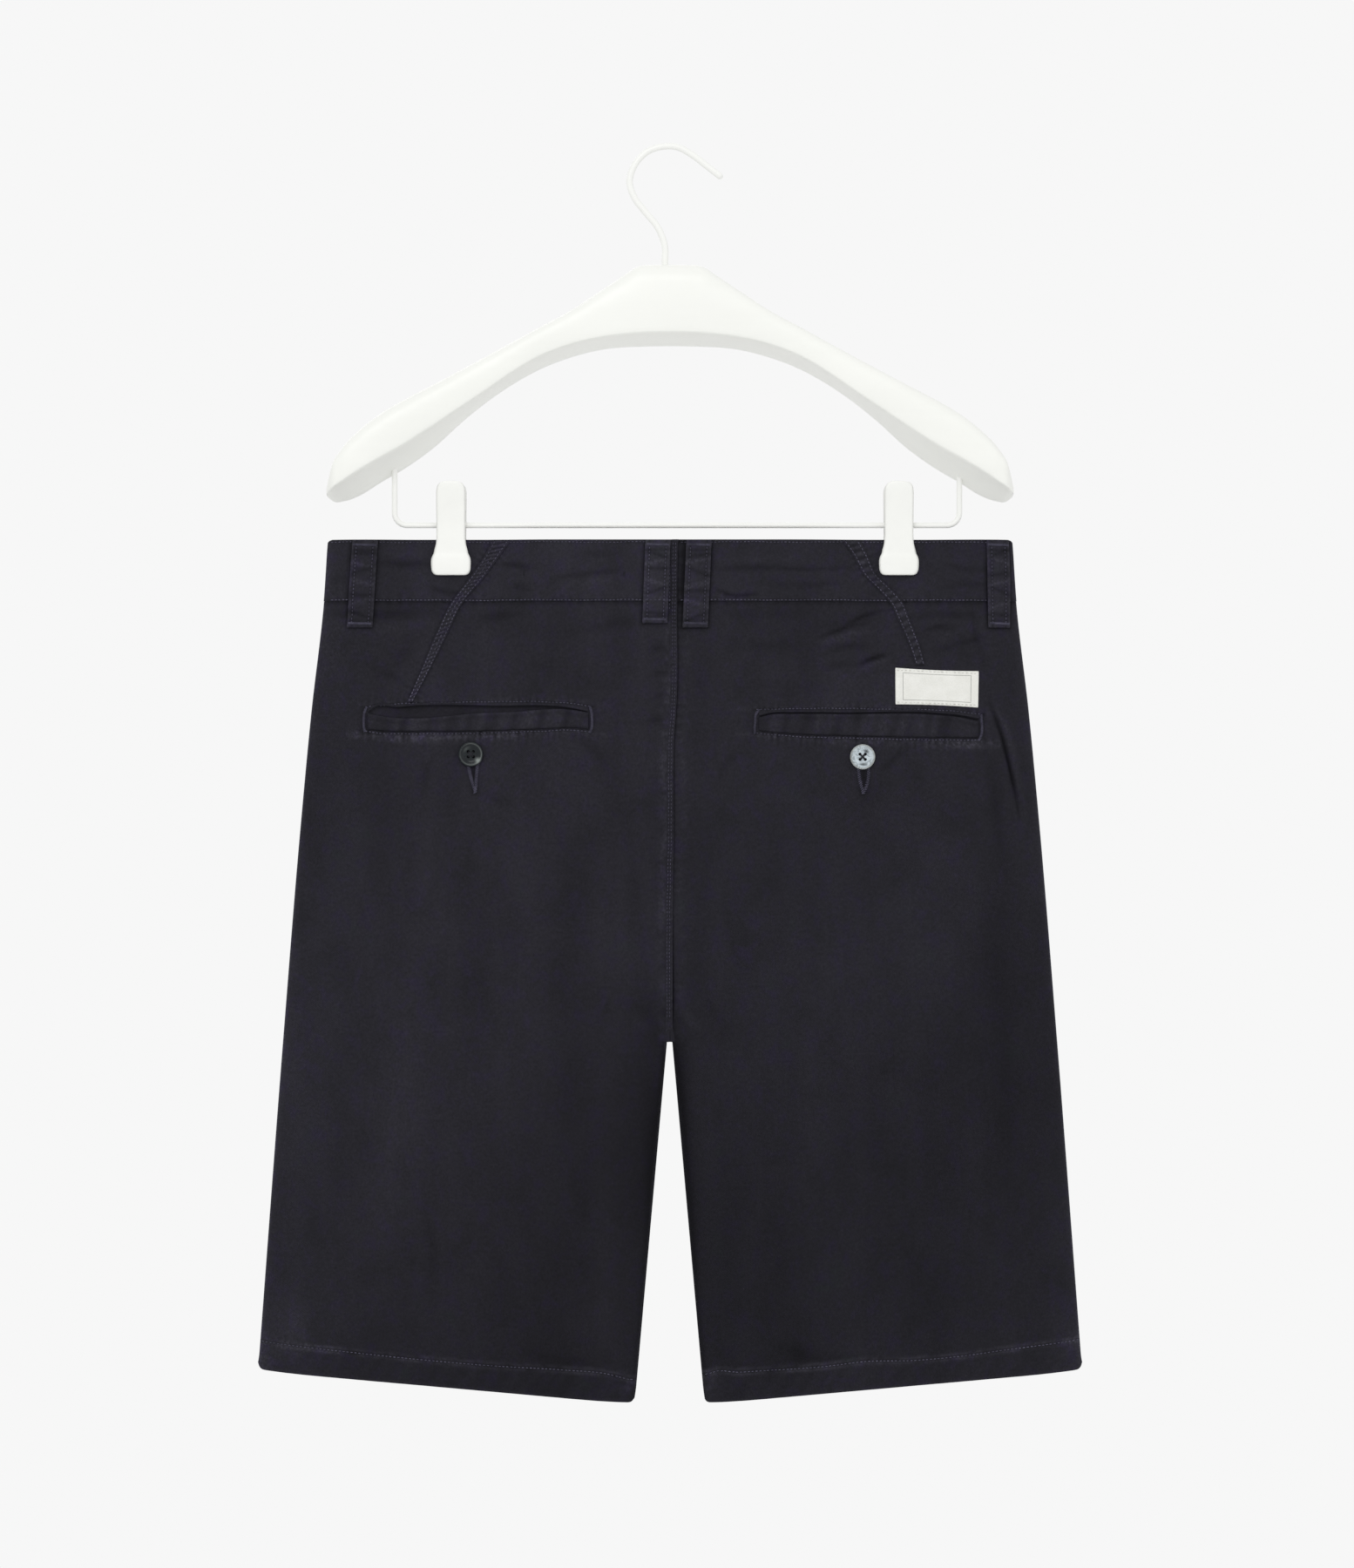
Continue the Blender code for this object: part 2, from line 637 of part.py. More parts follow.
def smooth_route(route, step):
    """Points about a step apart on a smooth curve through a route of (x, z)."""
    knots = np.array(route)
    lengths = np.linalg.norm(np.diff(knots, axis=0), axis=1)
    table = np.column_stack([np.concatenate([[0], np.cumsum(lengths)]), knots])
    count = int(table[-1, 0] / step) + 1
    places = np.linspace(0, table[-1, 0], count)
    return [(along(table, 1, p), along(table, 2, p)) for p in places]


def rod(name, route, radius, finish):
    """A round wire along points of (x, z), in the middle plane."""
    curve = bpy.data.curves.new(name, "CURVE")
    curve.dimensions = "3D"
    curve.bevel_depth = radius
    curve.bevel_resolution = 3
    curve.use_fill_caps = True
    spline = curve.splines.new("POLY")
    spline.points.add(len(route) - 1)
    for point, (x, z) in zip(spline.points, route):
        point.co = (x, 0.0, z, 1.0)
    return add_object(name, curve, finish)


def bar_route():
    """Down from the left arm, across, and up to the right arm, with a round bend at each corner."""
    left, right = BAR_ENDS
    route = [(left, BAR_TOP)]
    for corner, start in ((left + BAR_BEND, math.pi), (right - BAR_BEND, 1.5 * math.pi)):
        for i in range(BAR_BEND_STEPS + 1):
            turn = start + math.pi / 2 * i / BAR_BEND_STEPS
            x = corner + BAR_BEND * math.cos(turn)
            route.append((x, BAR_LEVEL + BAR_BEND + BAR_BEND * math.sin(turn)))
    route.append((right, BAR_TOP))
    return route


def hanger_ring(side, row):
    out, top, edge, foot, half, middle = row
    ring = []
    for y_share, above, below in HANGER_SECTION:
        z = edge + (top - edge) * above + (foot - edge) * (1 - below)
        ring.append((side * out, middle + half * y_share, z))
    return ring


def build_hanger():
    rings = [hanger_ring(LEFT, row) for row in reversed(HANGER_ROWS[1:])]
    rings += [hanger_ring(RIGHT, row) for row in HANGER_ROWS]
    wood = loft("hanger_body", rings, WHITE_WOOD)
    hook_x, hook_foot = HOOK_ROUTE[0]
    place = (hook_x, 0.0, hook_foot - GAP + DRILL_LENGTH / 2)
    cut(wood, cutter("hook_hole", place, HOOK_WIRE + GAP, DRILL_LENGTH))
    for name, x in zip(("bar_hole_left", "bar_hole_right"), BAR_ENDS):
        place = (x, 0.0, BAR_TOP + GAP - DRILL_LENGTH / 2)
        cut(wood, cutter(name, place, BAR_WIRE + GAP, DRILL_LENGTH))
    rod("hook", smooth_route(HOOK_ROUTE, HOOK_STEP), HOOK_WIRE, WHITE_WIRE)
    rod("bar", bar_route(), BAR_WIRE, WHITE_WIRE)


def build_clip(side):
    """A front and a back jaw, and the barrel of the spring that turns on the bar between them."""
    name = f"clip_{SIDE_NAMES[side]}"
    middle = CLIP_CENTRES[side]
    for face in (BACK, FRONT):
        rings = []
        for height, half, beyond, thick in CLIP_ROWS:
            z = -WAIST_BELOW_HOOK + height
            low, high = JAW_INSIDE + beyond, JAW_INSIDE + beyond + thick
            section = (
                (-half, low),
                (-half, high - CLIP_CHAMFER),
                (-half + CLIP_CHAMFER, high),
                (half - CLIP_CHAMFER, high),
                (half, high - CLIP_CHAMFER),
                (half, low),
            )
            rings.append([(middle + x, face * y, z) for x, y in section])
        loft(f"{name}_{FACE_NAMES[face]}", rings, WHITE_PLASTIC)
    bore = BAR_WIRE + GAP
    outside = bore + CLIP_SPRING_WALL
    profile = (
        (-CLIP_SPRING / 2, bore),
        (CLIP_SPRING / 2, bore),
        (CLIP_SPRING / 2, outside),
        (-CLIP_SPRING / 2, outside),
    )
    points, faces = [], []
    for k in range(CLIP_SPRING_SEGMENTS):
        turn = 2 * math.pi * k / CLIP_SPRING_SEGMENTS
        here = k * len(profile)
        after = (k + 1) % CLIP_SPRING_SEGMENTS * len(profile)
        for i, (x, r) in enumerate(profile):
            points.append((middle + x, r * math.cos(turn), BAR_LEVEL + r * math.sin(turn)))
            j = (i + 1) % len(profile)
            faces.append((here + i, here + j, after + j, after + i))
    add_mesh(f"{name}_spring", points, faces, WHITE_WIRE)


def main():
    clear_scene()
    build_panels()
    build_seams()
    build_belt_loops()
    build_pockets()
    build_label()
    build_fly()
    for button in BUTTONS:
        build_button(*button)
    build_hanger()
    for side in (LEFT, RIGHT):
        build_clip(side)


main()
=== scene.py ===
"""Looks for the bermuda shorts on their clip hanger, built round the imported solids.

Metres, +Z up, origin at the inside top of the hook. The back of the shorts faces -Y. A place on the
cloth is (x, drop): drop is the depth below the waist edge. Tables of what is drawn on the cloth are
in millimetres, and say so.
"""

import math

import bmesh
import bpy
import numpy as np
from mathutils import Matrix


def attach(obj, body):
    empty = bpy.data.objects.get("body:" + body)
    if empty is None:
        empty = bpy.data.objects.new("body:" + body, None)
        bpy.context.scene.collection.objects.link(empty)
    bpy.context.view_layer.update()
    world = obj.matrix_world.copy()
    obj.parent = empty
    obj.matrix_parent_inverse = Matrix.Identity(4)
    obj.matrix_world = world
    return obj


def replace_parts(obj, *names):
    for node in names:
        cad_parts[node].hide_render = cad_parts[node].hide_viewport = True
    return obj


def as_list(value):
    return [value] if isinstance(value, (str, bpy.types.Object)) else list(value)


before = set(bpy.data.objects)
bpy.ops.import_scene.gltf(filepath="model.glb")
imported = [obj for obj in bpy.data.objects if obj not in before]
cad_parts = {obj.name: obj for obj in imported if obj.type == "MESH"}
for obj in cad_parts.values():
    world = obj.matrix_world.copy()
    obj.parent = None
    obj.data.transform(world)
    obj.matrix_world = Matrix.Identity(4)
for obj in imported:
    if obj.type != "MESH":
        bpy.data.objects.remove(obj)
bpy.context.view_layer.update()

LEFT, RIGHT = -1, 1
BACK, FRONT = -1, 1
SIDE_NAMES = {LEFT: "left", RIGHT: "right"}
FACE_NAMES = {BACK: "back", FRONT: "front"}
MM = 0.001

# ------------------------------------------------------------------ the cloth's own sizes, as in the solids

GAP = 0.0003
WAIST_BELOW_HOOK = 0.2540
BAND_HEIGHT = 0.0400
CROTCH_DROP = 0.3266
SIDE_LENGTH = 0.5390
INSEAM_EXTRA = 0.0218
CROTCH_WIDTH = 0.0040
CROTCH_CENTRES = {BACK: -0.0006, FRONT: 0.0}
HEM_WIDTH_BETWEEN = 0.0458
CLOTH = 0.0014
BAND_CLOTH = 0.0020
BAND_RISE = 0.0004
HEM_HEIGHT = 0.0180
HEM_FOLD = 0.0008
# The outline of the body: drop, half width, half depth
BODY_ROWS = np.array([
    (0.0000, 0.2226, 0.0070),
    (0.0400, 0.2252, 0.0082),
    (0.1110, 0.2333, 0.0105),
    (0.1870, 0.2405, 0.0120),
    (0.3266, 0.2519, 0.0120),
    (0.5390, 0.2680, 0.0112),
])
# The line of the centre back seam: drop, x
BACK_SEAM_ROWS = np.array([
    (0.0000, 0.0050),
    (0.0550, 0.0047),
    (0.1060, 0.0043),
    (0.1190, 0.0034),
    (0.1310, 0.0025),
    (0.1500, 0.0022),
    (0.1930, 0.0022),
    (0.2300, 0.0014),
    (0.2700, 0.0011),
    (0.3266, 0.0011),
])
SIDE_ROUND = 0.045
CENTRE_ROUND = 0.040
SEAM_SHARE = 0.135
SEAM_CLOSES_FROM = 0.235
CLIP_CENTRES = {LEFT: -0.1423, RIGHT: 0.1486}
CLIP_DEPTH = 0.0030
CLIP_FLAT = 0.0170
CLIP_EASE = 0.0520
CLIP_FLAT_DROP, CLIP_EASE_DROP = 0.0310, 0.1300
CLIP_PAD = (0.0150, 0.0265)  # half width and drop of what a jaw covers
LIFT = GAP
TRIM = 0.0008
WELT_CLOTH = 0.0012
LABEL_WIDTH, LABEL_HEIGHT = 0.0538, 0.0232
LABEL_FRAME = (0.0048, 0.0028)  # how far the woven line keeps from the ends and from the long edges
LOOP_CLOTH = 0.0012
LOOP_ARCH = 0.0012
LOOP_TOP = 0.0006
JAW_INSIDE = GAP / 2 + CLIP_DEPTH + BAND_RISE + GAP

# ------------------------------------------------------------------ small tools


def along(table, column, at):
    """A smooth curve through one column of a table, read at places in its first column."""
    starts, values = table[:, 0], table[:, column]
    slopes = np.gradient(values, starts)
    at = np.clip(at, starts[0], starts[-1])
    i = np.clip(np.searchsorted(starts, at) - 1, 0, len(starts) - 2)
    step = starts[i + 1] - starts[i]
    f = (at - starts[i]) / step
    low = values[i] * (1 + 2 * f) * (1 - f) ** 2 + slopes[i] * step * f * (1 - f) ** 2
    high = values[i + 1] * f * f * (3 - 2 * f) + slopes[i + 1] * step * f * f * (f - 1)
    return low + high


def eased(t):
    t = np.clip(t, 0.0, 1.0)
    return t * t * (3 - 2 * t)


def rounded(t):
    t = np.clip(t, 0.0, 1.0)
    return np.sqrt(1 - (1 - t) ** 2)


def bell(t):
    return np.exp(-np.square(t))


def soft_noise(x, y, size, seed):
    """Smooth noise from -1 to 1 over a plane, with lumps of about that size."""
    table = np.random.RandomState(seed).uniform(-1, 1, (64, 64))
    u, v = np.asarray(x) / size + 1000, np.asarray(y) / size + 1000
    i, j = np.floor(u).astype(int), np.floor(v).astype(int)
    fu, fv = eased(u - i), eased(v - j)
    a, b = table[i % 64, j % 64], table[(i + 1) % 64, j % 64]
    c, d = table[i % 64, (j + 1) % 64], table[(i + 1) % 64, (j + 1) % 64]
    return (a * (1 - fu) + b * fu) * (1 - fv) + (c * (1 - fu) + d * fu) * fv


def line_noise(t, size, seed):
    """The same along a line."""
    return soft_noise(t, 0 * t, size, seed)


def unit(vectors):
    """The same vectors at length one."""
    return vectors / np.maximum(np.linalg.norm(vectors, axis=-1, keepdims=True), 1e-12)


def steps(route):
    """Lengths of a route's straight pieces."""
    return np.linalg.norm(np.diff(route, axis=0), axis=1)


def measured(route, step):
    """(how far along the route each point lies, places about a step apart from end to end)."""
    far = np.concatenate([[0], np.cumsum(steps(route))])
    return far, np.linspace(0, far[-1], max(2, int(round(far[-1] / step)) + 1))


def densely(route, step):
    """Points a step apart along straight pieces."""
    route = np.array(route, float)
    far, at = measured(route, step)
    return np.stack([np.interp(at, far, column) for column in route.T], 1)


def curved(route, step):
    """Points a step apart on a smooth curve through a route."""
    route = np.array(route, float)
    if len(route) < 3:
        return densely(route, step)
    far, at = measured(route, step)
    table = np.column_stack([far, route])
    return np.stack([along(table, k + 1, at) for k in range(route.shape[1])], 1)


def spaced(*parts):
    """One rising list from (start, end, step) stretches."""
    found = []
    for start, end, step in parts:
        count = max(1, int(round((end - start) / step)))
        found.extend(np.linspace(start, end, count + 1)[0 if not found else 1 :])
    return np.array(found)


def near(route, x, y):
    """(distance to the route, how far along it) for every point."""
    best = np.full(np.shape(x), 1e9)
    far = np.zeros(np.shape(x))
    start = 0.0
    for (ax, ay), (bx, by) in zip(route[:-1], route[1:]):
        length = math.hypot(bx - ax, by - ay)
        ux, uy = (bx - ax) / length, (by - ay) / length
        t = np.clip((x - ax) * ux + (y - ay) * uy, 0, length)
        gap = np.hypot(x - ax - t * ux, y - ay - t * uy)
        closer = gap < best
        best = np.where(closer, gap, best)
        far = np.where(closer, start + t, far)
        start += length
    return best, far


# ------------------------------------------------------------------ the cloth's surface


def side_x(side, drop):
    return side * along(BODY_ROWS, 1, drop)


def leg_share(drop):
    return np.clip((drop - CROTCH_DROP) / (SIDE_LENGTH - CROTCH_DROP), 0, None)


def centre_x(face, drop):
    return along(BACK_SEAM_ROWS, 1, drop) if face == BACK else 0.0 * np.asarray(drop)


def inner_x(side, face, drop):
    in_seat = centre_x(face, drop) + side * GAP / 2
    widening = (HEM_WIDTH_BETWEEN - CROTCH_WIDTH) * leg_share(drop)
    in_leg = CROTCH_CENTRES[face] + side * (CROTCH_WIDTH + widening) / 2
    return np.where(np.asarray(drop) > CROTCH_DROP, in_leg, in_seat)


def half_depth(side, face, drop, x):
    away = (np.abs(x - CLIP_CENTRES[side]) - CLIP_FLAT) / CLIP_EASE
    below = (drop - CLIP_FLAT_DROP) / (CLIP_EASE_DROP - CLIP_FLAT_DROP)
    pinch = eased(1 - away) * eased(1 - below)
    full = along(BODY_ROWS, 2, drop) * (1 - pinch) + CLIP_DEPTH * pinch
    turning = eased((drop - SEAM_CLOSES_FROM) / (CROTCH_DROP - SEAM_CLOSES_FROM))
    left = np.where(drop > CROTCH_DROP, 0.0, 1 - (1 - SEAM_SHARE) * turning)
    closing = eased((drop - CROTCH_DROP + 0.030) / 0.030)
    left = left * (1 - closing)
    at_side = rounded(np.abs(x - side_x(side, drop)) / SIDE_ROUND)
    seat_inner, leg_inner = inner_x(side, face, drop), inner_x(side, face, CROTCH_DROP + 1e-6)
    inner = seat_inner + (leg_inner - seat_inner) * closing * (drop <= CROTCH_DROP)
    share = np.clip(side * (x - inner) / CENTRE_ROUND, 0, 1)
    at_crotch = bell((drop - CROTCH_DROP) / 0.022)
    at_centre = rounded(share) * (1 - at_crotch) + np.sin(share * np.pi / 2) * at_crotch
    return GAP / 2 + full * at_side * (left + (1 - left) * at_centre)


def base(side, face, x, drop):
    """(points, level outward normals) of the plain surface."""
    x, drop = np.broadcast_arrays(np.asarray(x, float), np.asarray(drop, float))
    first, last = side_x(side, drop), inner_x(side, face, drop)
    low, high = np.minimum(first, last), np.maximum(first, last)
    h = half_depth(side, face, drop, x)
    a, b = np.clip(x - 2e-4, low, high), np.clip(x + 2e-4, low, high)
    slope = (half_depth(side, face, drop, b) - half_depth(side, face, drop, a)) / np.maximum(b - a, 1e-9)
    normals = unit(np.stack([-slope, np.full(x.shape, float(face)), np.zeros(x.shape)], -1))
    z = -WAIST_BELOW_HOOK - drop - INSEAM_EXTRA * leg_share(drop) * (x - first) / (last - first)
    return np.stack([x, face * h, z], -1), normals


# ------------------------------------------------------------------ creases and puckers

# Millimetres: depth (below zero is a trough), half width, then points (x, drop). Back of the shorts.
BACK_CREASES = (
    # waistband, left
    (-0.55, 2.4, ((-192, 15), (-172, 16), (-154, 15))),
    (0.25, 3.0, ((-190, 10), (-160, 10.5))),
    (-0.45, 2.0, ((-112, 16), (-99, 17), (-88, 19))),
    (-0.40, 1.8, ((-78, 26), (-58, 23), (-31, 20))),
    (0.25, 2.6, ((-74, 30), (-52, 28), (-34, 26))),
    (-0.40, 2.2, ((-157, 31), (-146, 34), (-131, 36))),
    (-0.30, 2.6, ((-224, 27), (-207, 25))),
    (-0.35, 2.4, ((-104, 30), (-90, 33))),
    (-0.30, 3.0, ((-60, 10), (-36, 9))),
    # below the waistband, left
    (-0.75, 3.4, ((-224, 48), (-190, 49), (-150, 46))),
    (0.40, 4.0, ((-222, 57), (-184, 58), (-160, 56))),
    (-0.45, 2.8, ((-128, 51), (-112, 50), (-96, 48))),
    (-0.35, 3.0, ((-194, 84), (-182, 88), (-170, 95))),
    (-0.45, 4.5, ((-160, 60), (-176, 78), (-186, 98))),
    (-0.40, 3.2, ((-60, 60), (-36, 55), (-20, 53))),
    (-0.30, 5.5, ((-100, 78), (-60, 92), (-34, 97))),
    (0.30, 6.0, ((-110, 66), (-74, 74), (-44, 72))),
    # small drags into the centre seam, left
    (-0.35, 1.8, ((-13, 72), (-6, 70), (0, 70))),
    (-0.40, 1.6, ((-12, 88), (-6, 87), (1, 88))),
    (-0.30, 1.8, ((-11, 103), (-5, 101), (1, 102))),
    (-0.30, 2.0, ((-15, 119), (-7, 117), (0, 118))),
    # waistband, right
    (-0.40, 1.9, ((27, 19.5), (60, 18.5), (96, 19.5), (120, 18))),
    (0.22, 2.6, ((40, 13), (84, 12))),
    (-0.70, 1.5, ((30, 33), (40, 36.4), (56, 35.6))),
    (-0.35, 2.4, ((66, 29), (92, 30), (110, 27))),
    (-0.30, 2.4, ((178, 16), (196, 20), (208, 19))),
    (-0.35, 2.6, ((176, 31), (194, 29), (206, 31))),
    # below the waistband, right
    (-0.50, 1.5, ((94, 65), (108, 59.5), (123, 55), (128, 54))),
    (-0.50, 1.5, ((112, 57), (124, 50.5), (135, 47), (143, 45))),
    (-0.45, 4.0, ((92, 60), (112, 54), (132, 49))),
    (0.40, 2.2, ((98, 67), (114, 63), (130, 59))),
    (-0.35, 1.8, ((103, 73), (116, 69.5), (128, 69.5))),
    (-0.80, 1.3, ((122, 82), (131, 77.5), (140, 75))),
    (0.30, 1.8, ((122, 86), (132, 81), (142, 78.5))),
    (-0.30, 2.0, ((98, 86), (108, 82), (120, 81))),
    (-0.45, 2.4, ((158, 50), (176, 48.5), (196, 50))),
    (-0.35, 2.0, ((171, 73), (193, 66.5), (204, 64))),
    (-0.50, 3.0, ((196, 44), (198, 62), (205, 84))),
    (-0.35, 1.7, ((164, 60), (172, 57), (184, 57.5))),
    (0.35, 3.6, ((170, 66), (194, 57), (212, 54))),
    (-0.45, 3.6, ((30, 47), (58, 49), (92, 47))),
    (-0.35, 4.0, ((30, 64), (62, 70), (90, 68))),
    (-0.35, 5.0, ((42, 90), (72, 97), (104, 96))),
    # the sharp crease that runs down beside the right pocket
    (-1.25, 1.1, ((206.5, 105), (211.5, 117), (215, 127), (219, 142), (222, 155), (224.5, 166),
                  (226.5, 182))),
    (0.65, 2.4, ((210.5, 107), (218, 124), (223, 143), (227, 164), (229.5, 184))),
    (-0.45, 4.0, ((199, 130), (207, 150), (212, 178), (214, 215))),
    # under the buttons and pockets
    (-0.45, 2.6, ((156, 132), (147, 141), (136, 151))),
    (-0.35, 2.6, ((-150, 137), (-158, 150), (-160, 166))),
    (-0.35, 3.0, ((-60, 128), (-48, 138), (-40, 152))),
    (-0.30, 2.6, ((44, 137), (36, 146), (30, 158))),
    (-0.28, 3.0, ((-124, 162), (-112, 169), (-98, 171))),
    # seat and crotch
    (-0.45, 6.0, ((-30, 175), (-24, 215), (-20, 260), (-14, 300))),
    (-0.45, 6.0, ((24, 170), (22, 220), (18, 268), (13, 302))),
    (-0.22, 4.0, ((-32, 296), (-21, 305), (-10, 313))),
    (0.20, 3.6, ((-26, 309), (-16, 316), (-9, 321))),
    (0.34, 2.0, ((6, 288), (8, 300), (14, 314), (20, 318))),
    (-0.22, 3.0, ((22, 296), (30, 310), (38, 320))),
    # legs
    (-0.45, 9.0, ((-196, 210), (-206, 300), (-212, 400), (-214, 480))),
    (0.45, 11.0, ((-170, 250), (-176, 340), (-184, 440), (-186, 510))),
    (-0.50, 10.0, ((-60, 360), (-56, 420), (-58, 490))),
    (-0.35, 7.0, ((-112, 380), (-104, 440), (-108, 505))),
    (-0.55, 9.0, ((206, 230), (216, 320), (219, 400), (226, 490))),
    (0.40, 10.0, ((176, 270), (190, 370), (196, 470))),
    (-0.50, 9.0, ((62, 350), (66, 420), (76, 500))),
    (-0.35, 8.0, ((128, 330), (134, 420), (140, 500))),
    (-0.70, 5.0, ((70, 508), (88, 516), (118, 520))),
    (-0.35, 4.0, ((-98, 512), (-70, 518), (-46, 517))),
    (-0.35, 3.6, ((-160, 430), (-154, 455), (-158, 485))),
)
# The same for the front, which the photograph doesn't show: of the same kind, and drawn in at the clips.
FRONT_CREASES = (
    (-0.50, 2.4, ((-192, 14), (-172, 16), (-156, 14))),
    (-0.40, 2.0, ((-128, 22), (-112, 24), (-98, 21))),
    (-0.35, 1.9, ((-86, 15), (-60, 17), (-38, 15))),
    (-0.40, 2.2, ((34, 22), (58, 20), (88, 23))),
    (-0.45, 2.2, ((118, 15), (128, 16), (134, 14))),
    (-0.45, 2.4, ((168, 18), (190, 16), (214, 19))),
    (-0.65, 3.2, ((-220, 50), (-190, 48), (-160, 51))),
    (-0.45, 3.2, ((-134, 54), (-116, 62), (-104, 76))),
    (-0.45, 3.4, ((-166, 58), (-184, 76), (-196, 100))),
    (-0.60, 3.0, ((162, 50), (188, 47), (216, 49))),
    (-0.55, 2.8, ((134, 56), (112, 68), (96, 84))),
    (-0.45, 3.4, ((168, 62), (186, 82), (198, 108))),
    (-0.35, 4.6, ((-92, 100), (-64, 112), (-46, 130))),
    (0.30, 5.0, ((-110, 92), (-80, 104), (-52, 118))),
    (-0.40, 4.4, ((88, 104), (58, 120), (30, 142))),
    (-0.90, 2.4, ((-218, 122), (-222, 150), (-227, 176))),
    (0.45, 3.4, ((-224, 124), (-229, 152), (-232, 178))),
    (-0.75, 3.6, ((-74, 246), (-46, 272), (-16, 300))),
    (0.50, 3.8, ((-80, 258), (-48, 284), (-14, 312))),
    (-0.55, 3.4, ((-60, 296), (-34, 308), (-10, 319))),
    (-0.70, 3.6, ((70, 250), (44, 274), (16, 302))),
    (0.45, 3.8, ((76, 262), (46, 288), (14, 313))),
    (-0.50, 3.2, ((54, 300), (30, 311), (9, 320))),
    (-0.50, 9.0, ((-206, 230), (-212, 330), (-220, 440))),
    (0.40, 10.0, ((-160, 260), (-168, 360), (-176, 470))),
    (-0.50, 9.0, ((-66, 350), (-62, 420), (-66, 500))),
    (-0.50, 9.0, ((204, 220), (214, 330), (222, 450))),
    (0.40, 10.0, ((168, 280), (178, 380), (184, 480))),
    (-0.45, 8.0, ((70, 360), (74, 430), (82, 500))),
    (-0.40, 7.0, ((124, 360), (120, 430), (126, 500))),
)
CREASES = {BACK: BACK_CREASES, FRONT: FRONT_CREASES}
# Lighter and darker areas, in millimetres: x, drop, reach across, reach down, amount. Some are the dye's
# own patches; the others are painted shade: the legs darker towards the hem and at the right leg's side,
# dark strips along the crotch and the inseams where the cloth turns away, and a belt loop's shadow beside
# the centre back seam.
DYE_AND_SHADE_PATCHES = {
    BACK: (
        (-60, 480, 62, 190, -0.42),
        (-22, 376, 30, 70, -0.24),
        (44, 480, 52, 200, -0.38),
        (222, 330, 52, 220, -0.36),
        (140, 500, 66, 160, -0.36),
        (-170, 560, 120, 80, -0.30),
        (-238, 440, 26, 80, -0.16),
        (-245, 510, 16, 20, 0.45),
        (-263, 536, 8, 14, 0.35),
        (-60, 160, 95, 50, 0.16),
        (140, 110, 60, 32, 0.22),
        (-218, 66, 22, 56, 0.20),
        (-78, 66, 26, 22, -0.16),
        (-20, 252, 60, 50, 0.10),
        (-185, 360, 60, 90, 0.10),
        (4, 372, 6, 44, -1.10),
        (9, 455, 7, 56, -0.95),
        (18, 520, 5, 20, -0.45),
        (-12, 396, 7, 60, -0.40),
        (-11, 306, 9, 16, -0.18),
        (17, 292, 10, 26, -0.10),
        (86, 515, 26, 14, -0.12),
        (8.4, 10, 2.6, 18, -0.75),
        (8.0, 38, 2.4, 16, -0.75),
        (234, 220, 6, 34, 0.16),
    ),
    FRONT: (
        (130, 395, 80, 70, 0.10),
        (-110, 430, 80, 60, -0.08),
        (-12, 300, 12, 24, -0.15),
        (12, 300, 12, 24, -0.15),
    ),
}
CREASE_DEPTH = 1.35  # the depths in the tables of creases are taken times this

# The back pockets, in millimetres: where they end at the left and the right, then rows of points
# (x, drop). The first two are the stitches above and below the mouth.
POCKET_ENDS = {LEFT: (-198.4, -50.6), RIGHT: (55.2, 202.2)}
POCKET_TOPS = {
    LEFT: (
        (-198.6, 109.1), (-186.5, 107.8), (-175, 106.8), (-152, 106.2),
        (-118, 105.5), (-73, 106), (-59, 107.2), (-50.5, 108.9),
    ),
    RIGHT: (
        (55.4, 110.6), (88, 109.9), (120, 109.9), (142, 110.5),
        (172, 110.9), (188, 112), (202.8, 113.9),
    ),
}
POCKET_FEET = {
    LEFT: (
        (-198.6, 124.5), (-188, 125.8), (-161, 126.2), (-118, 125.8),
        (-82, 124.5), (-59, 124.1), (-50.5, 125.4),
    ),
    RIGHT: ((54.4, 125.7), (82, 128), (120, 129.1), (157, 130), (202, 130.4)),
}
# The mouth's upper edge, where the cloth folds in, and the upper edge of the welt inside it
POCKET_MOUTHS = {
    LEFT: ((-197.9, 114.5), (-195, 111.4), (-175, 108.5), (-113, 107.8), (-63.5, 109.4), (-52, 111.9)),
    RIGHT: (
        (57, 114.6), (62.9, 112.9), (82, 112.1), (112, 112.3),
        (172, 112.4), (188, 114), (200.7, 116.4),
    ),
}
POCKET_WELTS = {
    LEFT: (
        (-196, 113.4), (-185, 115.5), (-161, 116.4), (-144, 115),
        (-127, 113.3), (-104, 112.4), (-63.5, 110.9), (-53, 112.6),
    ),
    RIGHT: (
        (58, 115.8), (64, 114.2), (82, 113.5), (112, 113.6),
        (172, 114.2), (188, 115.8), (199, 118.2),
    ),
}
# The diagonal seams: x, drop, width
DIAGONAL_SEAMS = {
    LEFT: (
        (-0.1096, 0.0012, 0.0112),
        (-0.1152, 0.0100, 0.0096),
        (-0.1258, 0.0250, 0.0088),
        (-0.1388, 0.0414, 0.0072),
        (-0.1483, 0.0612, 0.0070),
        (-0.1565, 0.0797, 0.0056),
        (-0.1686, 0.1056, 0.0030),
    ),
    RIGHT: (
        (0.1178, 0.0012, 0.0112),
        (0.1235, 0.0100, 0.0096),
        (0.1298, 0.0225, 0.0080),
        (0.1392, 0.0320, 0.0084),
        (0.1474, 0.0414, 0.0080),
        (0.1520, 0.0520, 0.0072),
        (0.1588, 0.0690, 0.0064),
        (0.1624, 0.0812, 0.0058),
    ),
}
BUTTONHOLE_LINES = {
    LEFT: ((-0.1275, 0.1440), (-0.1262, 0.1635)),
    RIGHT: ((0.1254, 0.1455), (0.1254, 0.1640)),
}
BAND_STITCH_TOP, BAND_STITCH_FOOT = 0.0017, 0.0393
HEM_STITCH = SIDE_LENGTH - 0.0165
